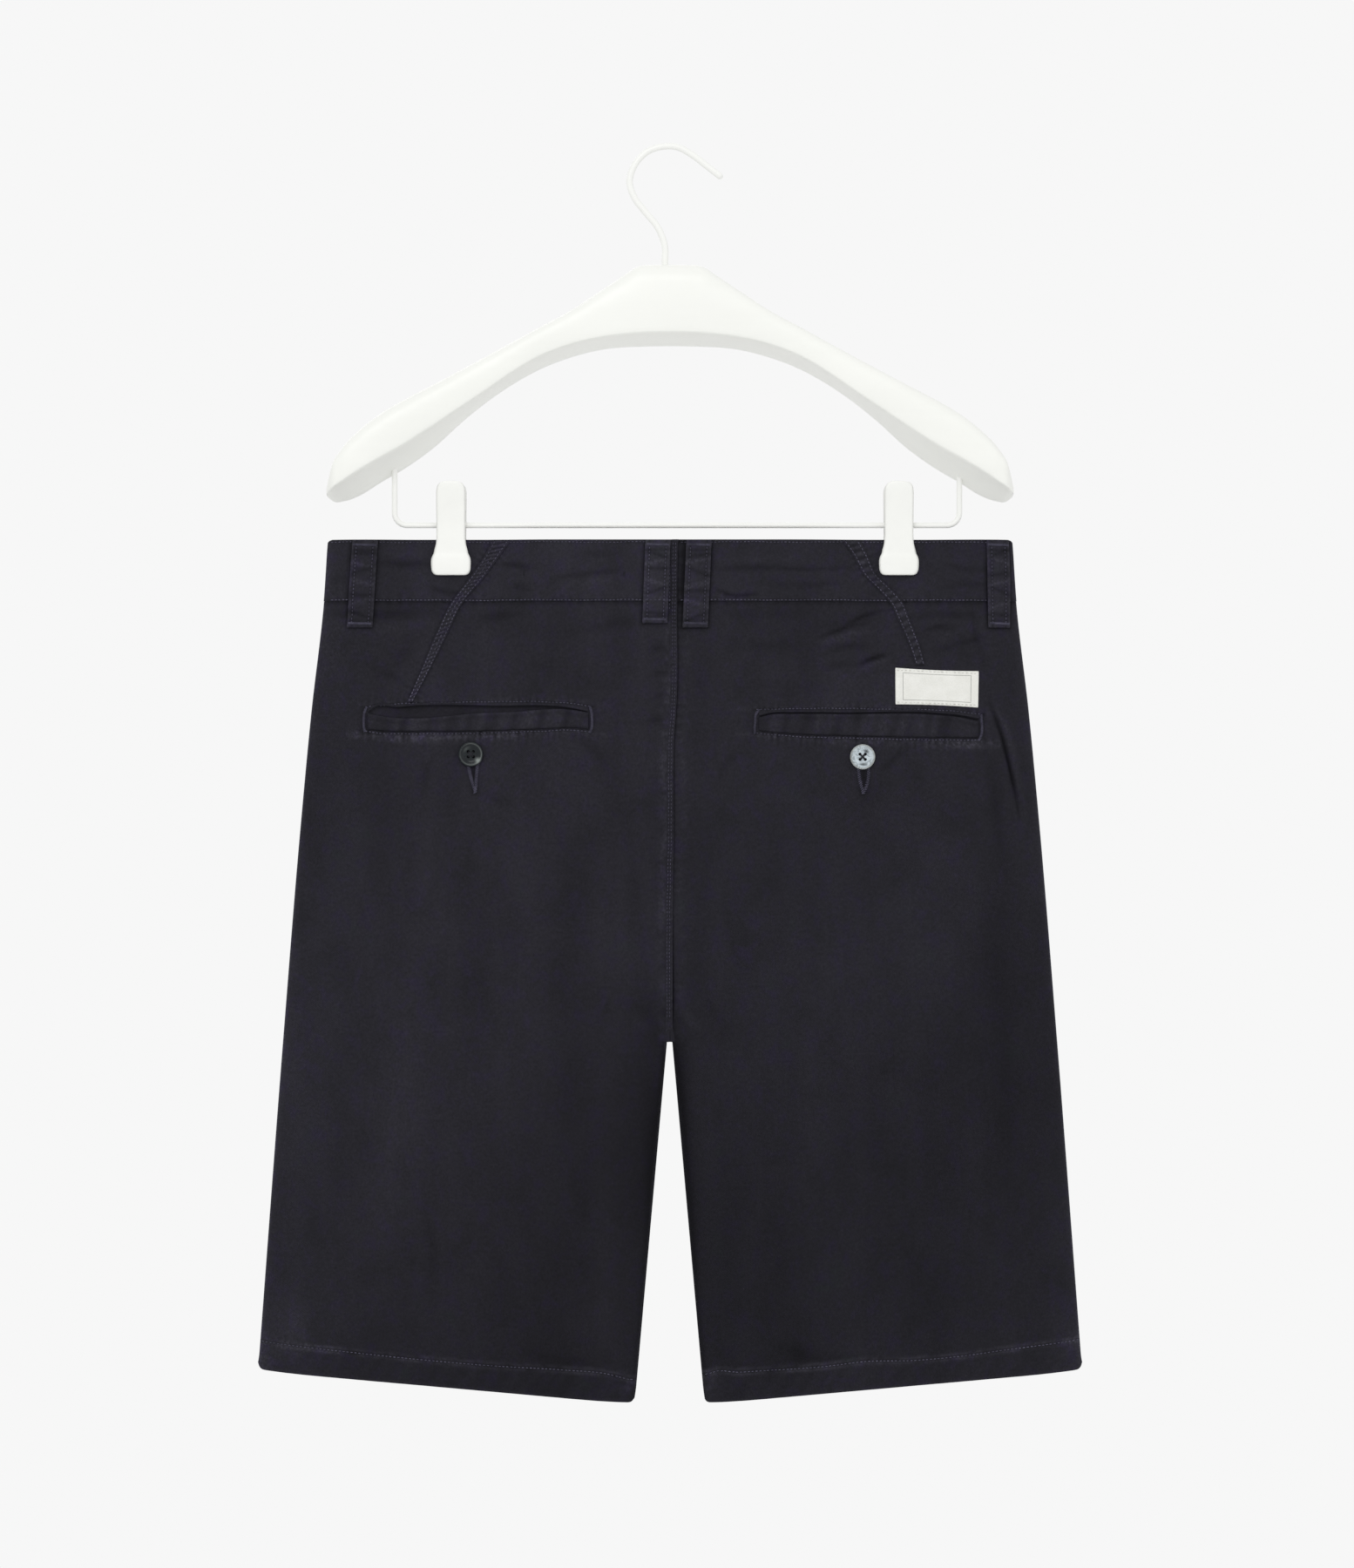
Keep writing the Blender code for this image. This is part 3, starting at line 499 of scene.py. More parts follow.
# Height of the hem's row of stitches over the edge, in millimetres: x, height
HEM_ROWS = {
    LEFT: ((-266, 18.3), (-223, 17.3), (-165, 15.9), (-114, 15.7), (-69, 16.7), (-42, 16.4), (-26, 13.4)),
    RIGHT: (
        (24, 16.4), (30, 18.4), (42, 17.2), (59, 16.9), (104, 16.4),
        (126, 17.4), (158, 15.6), (190, 15.9), (219, 17.6), (265, 19.2),
    ),
}
LOOP_WIDTH = 0.0158
# Name, side, face, x at the top, x at the foot, width, drop of the foot
BELT_LOOPS = (
    ("belt_loop_back_outer_left", LEFT, BACK, -0.1979, -0.2013, LOOP_WIDTH, 0.0570),
    ("belt_loop_back_centre_left", LEFT, BACK, -0.0078, -0.0098, LOOP_WIDTH, 0.0542),
    ("belt_loop_back_centre_right", RIGHT, BACK, 0.0188, 0.0163, LOOP_WIDTH, 0.0570),
    ("belt_loop_back_outer_right", RIGHT, BACK, 0.2125, 0.2135, 0.0136, 0.0570),
    ("belt_loop_front_left", LEFT, FRONT, -0.1010, -0.1030, LOOP_WIDTH, 0.0560),
    ("belt_loop_front_right", RIGHT, FRONT, 0.1010, 0.1030, LOOP_WIDTH, 0.0560),
)


def loop_x(top_x, bottom_x, f):
    return top_x * (1 - f) + bottom_x * f


def drawn_row(table, x):
    """A row drawn in millimetres as (x, value), read at x in metres."""
    return along(np.array(table), 1, np.asarray(x) / MM) * MM


def hem_stitch_drop(side, x):
    return SIDE_LENGTH - drawn_row(HEM_ROWS[side], x)


def pocket_depth(side, x, drop):
    """How deep the mouth of the back pocket is sunk, from 0 to 1, with crisp edges."""
    ends = np.array(POCKET_ENDS[side]) * MM
    top = drawn_row(POCKET_MOUTHS[side], x)
    foot = drawn_row(POCKET_FEET[side], x) - 0.0015
    inside = eased((drop - top) / 0.0007) * eased((foot - drop) / 0.0007)
    return inside * eased((x - ends[0] - 0.0020) / 0.0012) * eased((ends[1] - 0.0020 - x) / 0.0012)


def relief(side, face, x, drop):
    """(how far the cloth stands out from the plain surface, how worn or dark it is) at each point."""
    x, drop = np.broadcast_arrays(np.asarray(x, float), np.asarray(drop, float))
    out = np.zeros(x.shape)
    tone = np.zeros(x.shape)
    seed = 3 if face == BACK else 17
    # soft unevenness of cloth that hangs
    large = soft_noise(x, drop * 0.6, 0.060, seed) + 0.6 * soft_noise(x, drop * 0.8, 0.027, seed + 1)
    calm = 0.45 + 0.55 * eased((0.24 - drop) / 0.12)
    out += 0.00034 * large * calm
    out += 0.00010 * soft_noise(x, drop, 0.0085, seed + 2) * calm
    for i, (depth, width, points) in enumerate(CREASES[face]):
        route = curved(np.array(points) * MM, 0.004)
        reach = 3.2 * width * MM
        low, high = route.min(0) - reach, route.max(0) + reach
        inside = (x > low[0]) & (x < high[0]) & (drop > low[1]) & (drop < high[1])
        if not inside.any():
            continue
        length = steps(route).sum()
        gap, t = near(route, x[inside], drop[inside])
        f = t / length
        taper = np.sin(np.pi * np.clip(0.06 + 0.88 * f, 0, 1)) ** 0.8
        uneven = 1 + 0.35 * line_noise(t, 0.014, 40 + i)
        swell = 1 + 0.25 * line_noise(t, 0.020, 90 + i)
        shape = bell(gap / (width * MM * swell)) * taper * uneven
        out[inside] += depth * MM * CREASE_DEPTH * shape
        # painted shade in the troughs and painted light on the ridges, as strong as each crease is deep
        tone[inside] += np.clip(depth * 1.15 * min(1.0, (2.0 / width) ** 1.3), -0.75, 0.45) * shape
    # the dye's patches, and painted shade on the lower legs, along the crotch and beside a belt loop
    for at_x, at_drop, reach_x, reach_drop, amount in DYE_AND_SHADE_PATCHES[face]:
        tone += amount * bell((x / MM - at_x) / reach_x) * bell((drop / MM - at_drop) / reach_drop)

    # stitch lines draw the cloth in and pucker it to both sides
    def drawn(gap, t, depth, width, pucker, pitch, reach, key):
        """gap is the distance from the line, t the place along it. The line is a groove of that depth and
        width, with painted shade in it. pucker, pitch and reach are the height, the spacing and the length
        of its ripples, which carry painted light and shade."""
        nonlocal out, tone
        uneven = 0.55 + 0.45 * line_noise(t, 0.011, key)
        ripple = np.cos(2 * np.pi * t / pitch + 2.2 * line_noise(t, pitch * 2.3, key + 1))
        fade = bell(gap / reach)
        out = out - depth * bell(gap / width) + pucker * ripple * fade * uneven
        tone = tone - 0.34 * bell(gap / width) * (depth > 0)
        tone = tone + 0.30 * ripple * fade * uneven * (pucker / 0.0002)

    edge = np.abs(x - side_x(side, drop))
    to_centre = np.abs(x - inner_x(side, face, drop))
    # the shadows round the belt loops
    for _, loop_side, loop_face, top_x, bottom_x, width, loop_foot in BELT_LOOPS:
        if (loop_side, loop_face) == (side, face):
            f = np.clip((drop - LOOP_TOP) / (loop_foot - LOOP_TOP), 0, 1)
            beside = np.abs(x - loop_x(top_x, bottom_x, f)) - width / 2
            under = np.maximum(drop - loop_foot, 0)
            gap = np.hypot(np.maximum(beside, 0), under)
            tone -= (0.72 + 0.30 * soft_noise(x, drop, 0.011, 77)) * bell(gap / 0.0018)
    # the waistband's two rows
    drawn(np.abs(drop - BAND_STITCH_TOP), x, 0.00022, 0.0007, 0.00009, 0.0058, 0.0026, 200)
    drawn(np.abs(drop - BAND_STITCH_FOOT), x, 0.00026, 0.0007, 0.00015, 0.0066, 0.0042, 210)
    # the hem: it ropes, with painted light and shade on the ropes, and its ripples lean. It is worn along
    # both sides of its row and at its corners
    hem_gap = drop - hem_stitch_drop(side, x)
    lean = x + hem_gap * 0.75
    in_hem = eased((drop - HEM_STITCH + 0.006) / 0.006)
    drawn(np.abs(hem_gap), x, 0.00030, 0.0008, 0.0, 0.01, 0.003, 220)
    rope = np.cos(2 * np.pi * lean / 0.0125 + 2.6 * line_noise(lean, 0.030, 231))
    out += 0.00014 * rope * in_hem * (0.6 + 0.4 * line_noise(lean, 0.022, 232))
    tone += 0.05 * rope * in_hem
    fuzz = 0.62 + 0.55 * soft_noise(x, drop * 3, 0.013, 233) + 0.45 * soft_noise(x, drop * 2, 0.0034, 234)
    wear_and_light = 0.85 * bell((hem_gap + 0.0017) / 0.0011) * fuzz
    tone += wear_and_light + 0.80 * bell((hem_gap - 0.0010) / 0.0013) * fuzz
    tone += 0.42 * bell(edge / 0.020) * bell((drop - SIDE_LENGTH + 0.012) / 0.010) * fuzz
    tone += 0.80 * bell((to_centre - 0.003) / 0.008) * bell((drop - SIDE_LENGTH + 0.010) / 0.0065) * fuzz
    tone += 0.30 * bell((drop - SIDE_LENGTH) / 0.0016)
    tone += 0.16 * bell((drop - 0.0002) / 0.0013)
    if face == BACK:
        # the diagonal seam's puckers, and the shadow along it
        row = np.array(DIAGONAL_SEAMS[side])
        route = curved(row[:, :2], 0.004)
        drawn(*near(route, x, drop), 0.0, 0.002, 0.00026, 0.0042, 0.0068, 240)
        middle, width = (np.interp(drop, row[:, 1], row[:, k]) for k in (0, 2))
        beside = np.abs(x - middle) - width / 2
        within = (drop > row[0, 1] - 0.001) & (drop < row[-1, 1] + 0.001)
        tone -= (0.42 if side == LEFT else 0.15) * bell(np.maximum(beside, 0) / 0.0012) * within
        # the pocket: puckers along its rows, worn cloth below them, and painted shade in the sunk mouth
        ends = np.array(POCKET_ENDS[side]) * MM
        level_with = (x > ends[0] - 0.012) & (x < ends[1] + 0.012)
        rows = drawn_row(POCKET_TOPS[side], x), drawn_row(POCKET_FEET[side], x)
        for k, row in enumerate(rows):
            past = np.maximum(np.maximum(ends[0] - x, x - ends[1]), 0)
            gap = np.hypot(drop - row, past)
            outside = level_with * ((drop - row) * (1 if k else -1) > -0.0010)
            reach = 0.0050 if k else 0.0034
            size = 0.00066 if k else 0.00036
            drawn(gap, x, 0.00022, 0.0007, size * outside, 0.0046, reach, 250 + 10 * k)
        wear_and_light = {
            LEFT: bell((x + 0.160) / 0.050),
            RIGHT: bell((x - 0.192) / 0.022) + 0.5 * bell((x - 0.120) / 0.026),
        }[side]
        flecks = 0.70 + 0.75 * soft_noise(x, drop, 0.0021, 271) + 0.35 * soft_noise(x, drop, 0.0052, 272)
        tone += 1.15 * bell((drop - rows[1] - 0.0030) / 0.0026) * wear_and_light * level_with * flecks
        tone += 0.34 * bell((drop - rows[1] - 0.0010) / 0.0018) * level_with * flecks
        tone += 0.30 * bell((drop - rows[0] + 0.0006) / 0.0018) * level_with * flecks
        sunk = pocket_depth(side, x, drop)
        mouth = drawn_row(POCKET_MOUTHS[side], x)
        out -= 0.00120 * sunk
        gapes = eased((x + 0.188) / 0.016) if side == LEFT else 1.0
        shade = (0.32 if side == LEFT else 0.24) * sunk * gapes
        tone -= shade + 0.55 * sunk * bell((drop - mouth - 0.0006) / 0.0012)
        # painted shade just past the pocket's ends, and along each buttonhole's slit
        past = np.where(x < ends[0], ends[0] - x, np.where(x > ends[1], x - ends[1], 1.0))
        level = (drop > rows[0] - 0.001) & (drop < rows[1] + 0.003)
        tone -= 0.55 * bell((past - 0.0004) / 0.0013) * level
        tone -= 0.75 * bell(near(BUTTONHOLE_LINES[side], x, drop)[0] / 0.0024)
        # the centre seam: a raised felled edge on the left, and a shadow line on the right
        in_seat = (drop < CROTCH_DROP).astype(float)
        drawn(to_centre, drop, 0.0, 0.002, 0.00016 * in_seat, 0.0062, 0.0060, 280)
        fading = 1 - 0.6 * eased((drop - 0.10) / 0.16)
        tone += in_seat * (-0.42 if side == RIGHT else 0.0) * bell(to_centre / 0.0011) * fading
        flecks = 0.55 + 0.8 * soft_noise(x, drop * 0.8, 0.0028, 281) + 0.5 * soft_noise(x, drop, 0.014, 282)
        tone += in_seat * (0.62 if side == LEFT else 0.22) * bell((to_centre - 0.0056) / 0.0030) * flecks
    else:
        in_seat = (drop < 0.20).astype(float)
        drawn(to_centre, drop, 0.0, 0.002, 0.00012 * in_seat, 0.0066, 0.0055, 290)
    # every edge that is sewn to the next piece rolls in. A painted shadow lies under the waistband, painted
    # light along the side seams and painted shade along the inseams
    in_leg = drop > CROTCH_DROP
    out -= 0.00030 * bell(to_centre / 0.0010) * ~in_leg
    out -= 0.00022 * bell((drop - BAND_HEIGHT - GAP) / 0.0009) * (drop > BAND_HEIGHT)
    tone -= 0.35 * bell((drop - BAND_HEIGHT - 0.0012) / 0.0016) * (drop > BAND_HEIGHT)
    wear_and_light = 0.24 * bell(edge / 0.0030) + 0.55 * bell(edge / 0.0009)
    tone += wear_and_light - 0.45 * bell(to_centre / 0.0026) * in_leg
    # flat under the jaws, and nothing crosses at the side seam and the inseam
    pad, foot = CLIP_PAD
    held = eased((pad + 0.006 - np.abs(x - CLIP_CENTRES[side])) / 0.004)
    held = held * eased((foot + 0.006 - drop) / 0.004)
    out = out * (1 - held) - 0.00004 * held
    closing = eased((drop - CROTCH_DROP + 0.014) / 0.014)
    keep = eased(edge / 0.010) * (1 - closing * (1 - eased(to_centre / 0.010)))
    return out * keep, np.clip(tone, -1, 1.6)


def place(side, face, x, drop, lift=0.0):
    """Points on the finished cloth, moved out by lift."""
    x, drop = np.broadcast_arrays(np.asarray(x, float), np.asarray(drop, float))
    points, normals = base(side, face, x, drop)
    rise = np.where(drop < BAND_HEIGHT + GAP / 2, BAND_RISE, 0.0)
    out = relief(side, face, x, drop)[0] + rise + lift
    return points + normals * out[..., None]


# ------------------------------------------------------------------ meshes


def linked(name, data):
    """A new object in the scene."""
    made = bpy.data.objects.new(name, data)
    bpy.context.scene.collection.objects.link(made)
    return made


def piece(name, points, faces, finish, uv=None, tone=None):
    """A smooth mesh object that rides on the part. finish holds a material and its slot."""
    mesh = bpy.data.meshes.new(name)
    mesh.from_pydata(np.asarray(points).tolist(), [], [tuple(f) for f in np.asarray(faces, object).tolist()])
    mesh.update()
    if uv is not None:
        layer = mesh.uv_layers.new(name="cloth")
        corner = np.zeros(len(mesh.loops), np.int32)
        mesh.loops.foreach_get("vertex_index", corner)
        layer.data.foreach_set("uv", np.asarray(uv, np.float32)[corner].ravel())
    if tone is not None:
        values = mesh.attributes.new("tone", "FLOAT", "POINT")
        values.data.foreach_set("value", np.asarray(tone, np.float32).ravel())
    mesh.shade_smooth()
    material, slot = finish
    mesh.materials.append(material)
    obj = linked(name, mesh)
    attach(obj, "root")
    return obj


def outward(obj):
    """Turns a closed mesh's faces out."""
    shape = bmesh.new()
    shape.from_mesh(obj.data)
    bmesh.ops.recalc_face_normals(shape, faces=shape.faces)
    shape.to_mesh(obj.data)
    shape.free()
    return obj


def tube(rings, count, start=0):
    """Faces between rings of count points each, numbered from start."""
    for r in range(rings - 1):
        for k in range(count):
            a, b = start + r * count + k, start + r * count + (k + 1) % count
            yield a, b, b + count, a + count


def fan(middle, start, count):
    """Faces from a middle point to the ring of count points that begins at start."""
    return [(middle, start + k, start + (k + 1) % count) for k in range(count)]


def shell(name, outer, inner, finish, uv, tone, bulge):
    """A closed wall between two grids, in the place of the solid of that name. bulge rounds the rim at
    the top, right, bottom and left edge."""
    rows, columns = outer.shape[:2]
    count = rows * columns
    r, c = np.meshgrid(np.arange(rows - 1), np.arange(columns - 1), indexing="ij")
    a = (r * columns + c).ravel()
    front = np.stack([a, a + 1, a + columns + 1, a + columns], 1)
    faces = np.concatenate([front, front[:, ::-1] + count])
    top = [(0, k, 0) for k in range(columns)]
    right = [(k, columns - 1, 1) for k in range(1, rows)]
    foot = [(rows - 1, k, 2) for k in range(columns - 2, -1, -1)]
    left = [(k, 0, 3) for k in range(rows - 2, 0, -1)]
    rim = top + right + foot + left
    inwards = {0: (1, 0), 1: (0, -1), 2: (-1, 0), 3: (0, 1)}
    middle = []
    for i, j, where in rim:
        here = (outer[i, j] + inner[i, j]) / 2
        di, dj = inwards[where]
        if bulge[where]:
            way = outer[i, j] - outer[i + di, j + dj]
            here = here + way / max(np.linalg.norm(way), 1e-9) * bulge[where]
        middle.append(here)
    index = np.array([i * columns + j for i, j, _ in rim])
    after = np.roll(index, -1)
    mid = 2 * count + np.arange(len(rim))
    mid_after = np.roll(mid, -1)
    faces = np.concatenate(
        [
            faces,
            np.stack([index, mid, mid_after, after], 1),
            np.stack([mid, index + count, after + count, mid_after], 1),
        ]
    )
    points = np.concatenate([outer.reshape(-1, 3), inner.reshape(-1, 3), np.array(middle)])
    flat = uv.reshape(-1, 2)
    tones = tone.reshape(-1)
    uvs = np.concatenate([flat, flat, flat[index]])
    tones = np.concatenate([tones, tones * 0, tones[index]])
    made = outward(piece("cloth_" + name, points, faces, finish, uvs, tones))
    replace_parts(made, name)
    return made


def strip_uv(points):
    """Lengths along both ways of a grid, in metres, so that a weave keeps its size."""
    across = np.linalg.norm(np.diff(points, axis=1), axis=2)
    down = np.linalg.norm(np.diff(points, axis=0), axis=2)
    u = np.concatenate([np.zeros((len(points), 1)), np.cumsum(across, 1)], 1)
    v = np.concatenate([np.zeros((1, points.shape[1])), np.cumsum(down, 0)], 0)
    middle = points.shape[1] // 2
    return np.stack([u - u[:, middle, None], -np.repeat(v[:, middle, None], points.shape[1], 1)], -1)


# ------------------------------------------------------------------ finishes


class Tree:
    """A short way to write a material's nodes."""

    def __init__(self, name):
        self.material = bpy.data.materials.new(name)
        self.material.use_nodes = True
        self.nodes = self.material.node_tree.nodes
        self.links = self.material.node_tree.links
        self.shader = self.nodes["Principled BSDF"]

    def add(self, kind, settings=None, **inputs):
        made = self.nodes.new(kind)
        for key, value in (settings or {}).items():
            setattr(made, key, value)
        for key, value in inputs.items():
            self.put(made, key.replace("_", " "), value)
        return made

    def put(self, node, key, value):
        socket = node.inputs[int(key)] if key.isdigit() else node.inputs[key]
        if isinstance(value, bpy.types.NodeSocket):
            self.links.new(value, socket)
        else:
            socket.default_value = value

    def place(self):
        return self.add("ShaderNodeTexCoord").outputs["Object"]

    def cloth(self):
        return self.add("ShaderNodeUVMap", {"uv_map": "cloth"}).outputs[0]

    def tone(self):
        return self.add("ShaderNodeAttribute", {"attribute_name": "tone"}).outputs["Fac"]

    def math(self, operation, a, b=None, c=None):
        made = self.add("ShaderNodeMath", {"operation": operation})
        for i, value in enumerate((a, b, c)):
            if value is not None:
                self.put(made, str(i), value)
        return made.outputs[0]

    def times(self, first, *others):
        for other in others:
            first = self.math("MULTIPLY", first, other)
        return first

    def plus(self, first, *others):
        for other in others:
            first = self.math("ADD", first, other)
        return first

    def noise(self, vector, scale, detail=3.0, roughness=0.55, distortion=0.0):
        made = self.add("ShaderNodeTexNoise", Vector=vector, Scale=scale, Detail=detail)
        self.put(made, "Roughness", roughness)
        self.put(made, "Distortion", distortion)
        return made.outputs[0]

    def wave(self, vector, direction, scale, distortion, detail_scale=1.0):
        made = self.add("ShaderNodeTexWave", {"bands_direction": direction}, Vector=vector, Scale=scale)
        self.put(made, "Distortion", distortion)
        self.put(made, "Detail Scale", detail_scale)
        return made.outputs["Fac"]

    def stretched(self, vector, factors):
        made = self.add("ShaderNodeVectorMath", {"operation": "MULTIPLY"})
        self.put(made, "0", vector)
        self.put(made, "1", factors)
        return made.outputs[0]

    def ramp(self, factor, stops):
        made = self.add("ShaderNodeValToRGB", Fac=factor)
        made.color_ramp.interpolation = "EASE"
        for i, (at, colour) in enumerate(stops):
            element = made.color_ramp.elements[i] if i < 2 else made.color_ramp.elements.new(at)
            element.position = at
            element.color = (*colour, 1)
        return made.outputs[0]

    def mix(self, factor, a, b, blend="MIX"):
        made = self.add("ShaderNodeMix", {"data_type": "RGBA", "blend_type": blend})
        self.put(made, "0", factor)
        self.put(made, "6", a)
        self.put(made, "7", b)
        return made.outputs[2]

    def shaded(self, colour, value):
        return self.mix(1.0, colour, value, "MULTIPLY")

    def range(self, value, low, high, to_low, to_high):
        made = self.add("ShaderNodeMapRange", Value=value)
        for key, number in zip(("From Min", "From Max", "To Min", "To Max"), (low, high, to_low, to_high)):
            self.put(made, key, number)
        return made.outputs[0]

    def bump(self, height, distance, strength):
        return self.add("ShaderNodeBump", Height=height, Distance=distance, Strength=strength).outputs[0]

    def set(self, **values):
        for key, value in values.items():
            self.put(self.shader, key.replace("_", " "), value)


def navy_twill(name, brightness):
    """Garment-dyed cotton twill: fine diagonal wales, a brushed face and cloudy dye. The tone attribute
    lightens and darkens it: worn cloth and the dye's patches, and painted light and shade on creases,
    puckers, seams and edges. Where it is light it is flecked.
    """
    t = Tree(name)
    place_at, weave_at, tone = t.place(), t.cloth(), t.tone()
    wale = t.wave(weave_at, "DIAGONAL", 700.0, 1.6, 1.5)
    yarn = t.noise(t.stretched(weave_at, (1500.0, 420.0, 1.0)), 1.0, 2.0, 0.6)
    fuzz = t.noise(t.stretched(weave_at, (900.0, 620.0, 1.0)), 1.0, 4.0, 0.72)
    speck = t.noise(weave_at, 330.0, 3.0, 0.7)
    clouds = t.noise(t.stretched(place_at, (1.0, 1.0, 0.8)), 40.0, 5.0, 0.62, 0.3)
    patches = t.noise(t.stretched(place_at, (1.0, 1.0, 0.85)), 95.0, 5.0, 0.66, 0.5)
    bands = t.noise(t.stretched(place_at, (1.0, 1.0, 0.16)), 34.0, 3.0, 0.5)
    wide = t.noise(place_at, 5.5, 2.0, 0.5)
    flecks = t.noise(t.stretched(weave_at, (1.0, 0.8, 1.0)), 520.0, 3.0, 0.62)
    colour = t.ramp(
        clouds,
        (
            (0.28, (0.0172, 0.0168, 0.0212)),
            (0.46, (0.0198, 0.0190, 0.0246)),
            (0.60, (0.0214, 0.0204, 0.0270)),
            (0.78, (0.0204, 0.0222, 0.0262)),
        ),
    )
    bluish = t.range(patches, 0.50, 0.68, 0.0, 0.80)
    colour = t.mix(bluish, colour, (0.0218, 0.0186, 0.0352, 1))
    # flecks where the tone is light: on worn cloth, and on painted light
    wear_and_light = t.times(t.math("MAXIMUM", tone, 0.0), t.range(flecks, 0.40, 0.64, -0.5, 1.1))
    value = t.times(
        t.range(bands, 0.3, 0.7, 0.90, 1.10),
        t.range(wide, 0.3, 0.7, 0.90, 1.12),
        t.range(speck, 0.25, 0.75, 0.84, 1.17),
        t.range(fuzz, 0.25, 0.75, 0.70, 1.32),
        t.range(wale, 0.0, 1.0, 0.80, 1.16),
        t.range(t.plus(tone, wear_and_light), -1.0, 2.0, 0.34, 2.60),
        brightness,
    )
    height = t.plus(t.times(wale, 0.5), t.times(yarn, 0.35), t.times(fuzz, 0.55))
    t.set(Base_Color=t.shaded(colour, value), Roughness=t.range(fuzz, 0.2, 0.8, 0.84, 0.97))
    t.set(Specular_IOR_Level=0.10, Sheen_Weight=0.05, Sheen_Roughness=0.45)
    t.set(Sheen_Tint=(0.42, 0.43, 0.56, 1))
    t.set(Normal=t.bump(height, 0.00022, 0.75))
    return t.material, "navy_twill"


def thread(name, slot, low, high):
    """Twisted cotton thread: fine slanting plies, and colour that varies from stitch to stitch."""
    t = Tree(name)
    place_at = t.place()
    ply = t.wave(t.cloth(), "DIAGONAL", 1.0, 0.6)
    varied = t.noise(place_at, 260.0, 3.0, 0.6)
    fibre = t.noise(place_at, 2600.0, 3.0, 0.7)
    wear_and_light = t.noise(place_at, 30.0, 3.0, 0.6)
    colour = t.mix(t.range(varied, 0.32, 0.68, 0.0, 1.0), (*low, 1), (*high, 1))
    value = t.times(
        t.range(ply, 0.0, 1.0, 0.74, 1.18),
        t.range(fibre, 0.3, 0.7, 0.82, 1.18),
        t.range(wear_and_light, 0.35, 0.65, 0.78, 1.22),
    )
    t.set(Base_Color=t.shaded(colour, value))
    t.set(Roughness=t.range(fibre, 0.2, 0.8, 0.6, 0.8), Specular_IOR_Level=0.25)
    t.set(Normal=t.bump(t.plus(ply, t.times(fibre, 0.6)), 0.00012, 0.8))
    return t.material, slot


def label_tape(name):
    """Woven tape: plain weave of fine ribs, off-white, with a thin woven frame line."""
    t = Tree(name)
    at = t.cloth()
    parts = t.add("ShaderNodeSeparateXYZ", Vector=at).outputs
    weave = t.times(t.wave(at, "Y", 640.0, 1.2), t.wave(at, "X", 820.0, 1.0))
    fibre = t.noise(at, 1300.0, 4.0, 0.7)
    cloud = t.noise(t.place(), 120.0, 3.0, 0.6)
    colour = t.ramp(cloud, ((0.3, (0.87, 0.87, 0.82)), (0.7, (0.93, 0.93, 0.885))))
    # the frame line: a box inside the label's edges
    beyond_x = t.math("SUBTRACT", t.math("ABSOLUTE", parts["X"]), 0.5 * LABEL_WIDTH - LABEL_FRAME[0])
    beyond_y = t.math("SUBTRACT", t.math("ABSOLUTE", parts["Y"]), 0.5 * LABEL_HEIGHT - LABEL_FRAME[1])
    line = t.math("ABSOLUTE", t.math("MAXIMUM", beyond_x, beyond_y))
    wobble = t.times(t.noise(at, 900.0, 2.0, 0.5), 0.00016)
    faded = t.math("SMOOTH_MIN", 1.0, t.times(t.plus(line, wobble), 2400.0), 0.15)
    drawn = t.math("MAXIMUM", t.math("SUBTRACT", 1.0, faded), 0.0)
    value = t.times(t.range(weave, 0.0, 1.0, 0.88, 1.05), t.range(fibre, 0.3, 0.7, 0.93, 1.05))
    colour = t.mix(t.times(drawn, 0.90), t.shaded(colour, value), (0.12, 0.12, 0.115, 1))
    colour = t.shaded(colour, t.range(t.tone(), -1.0, 1.0, 0.5, 1.5))
    height = t.plus(weave, t.times(fibre, 0.4))
    t.set(Base_Color=colour, Roughness=t.range(fibre, 0.2, 0.8, 0.72, 0.9), Specular_IOR_Level=0.3)
    t.set(Sheen_Weight=0.1, Normal=t.bump(height, 0.00012, 0.7))
    return t.material, "label_tape"


def button_resin(name, dark, light, share, ring):
    """Polished resin, marbled like horn, with fine turning marks. Tone above zero brings in the ring colour
    and tone below zero a dark one: painted highlights on the dark button, a greyer rim and dark clouds on
    the button painted light as a reflection.
    """
    t = Tree(name)
    tone, at = t.tone(), t.place()
    swirl = t.noise(at, 210.0, 5.0, 0.6, 2.2)
    veins = t.noise(t.stretched(at, (1.0, 1.0, 1.8)), 420.0, 6.0, 0.65, 3.2)
    turned = t.noise(at, 2400.0, 2.0, 0.5)
    blend = t.plus(t.times(swirl, 0.7), t.times(veins, 0.3))
    middle = tuple((a + b) / 2 for a, b in zip(dark, light))
    colour = t.ramp(blend, ((share - 0.10, dark), (share, middle), (share + 0.09, light)))
    uneven = t.range(veins, 0.3, 0.7, 0.75, 1.2)
    colour = t.mix(t.times(t.range(tone, 0.0, 1.0, 0.0, 1.0), uneven), colour, (*ring, 1))
    colour = t.mix(t.times(t.range(tone, -1.0, 0.0, 1.0, 0.0), uneven), colour, (0.011, 0.013, 0.016, 1))
    t.set(Base_Color=colour, Roughness=t.range(turned, 0.3, 0.7, 0.20, 0.30))
    t.set(Specular_IOR_Level=0.22)
    t.set(Normal=t.bump(t.plus(veins, t.times(turned, 0.3)), 0.00006, 0.4))
    return t.material, "button_resin"


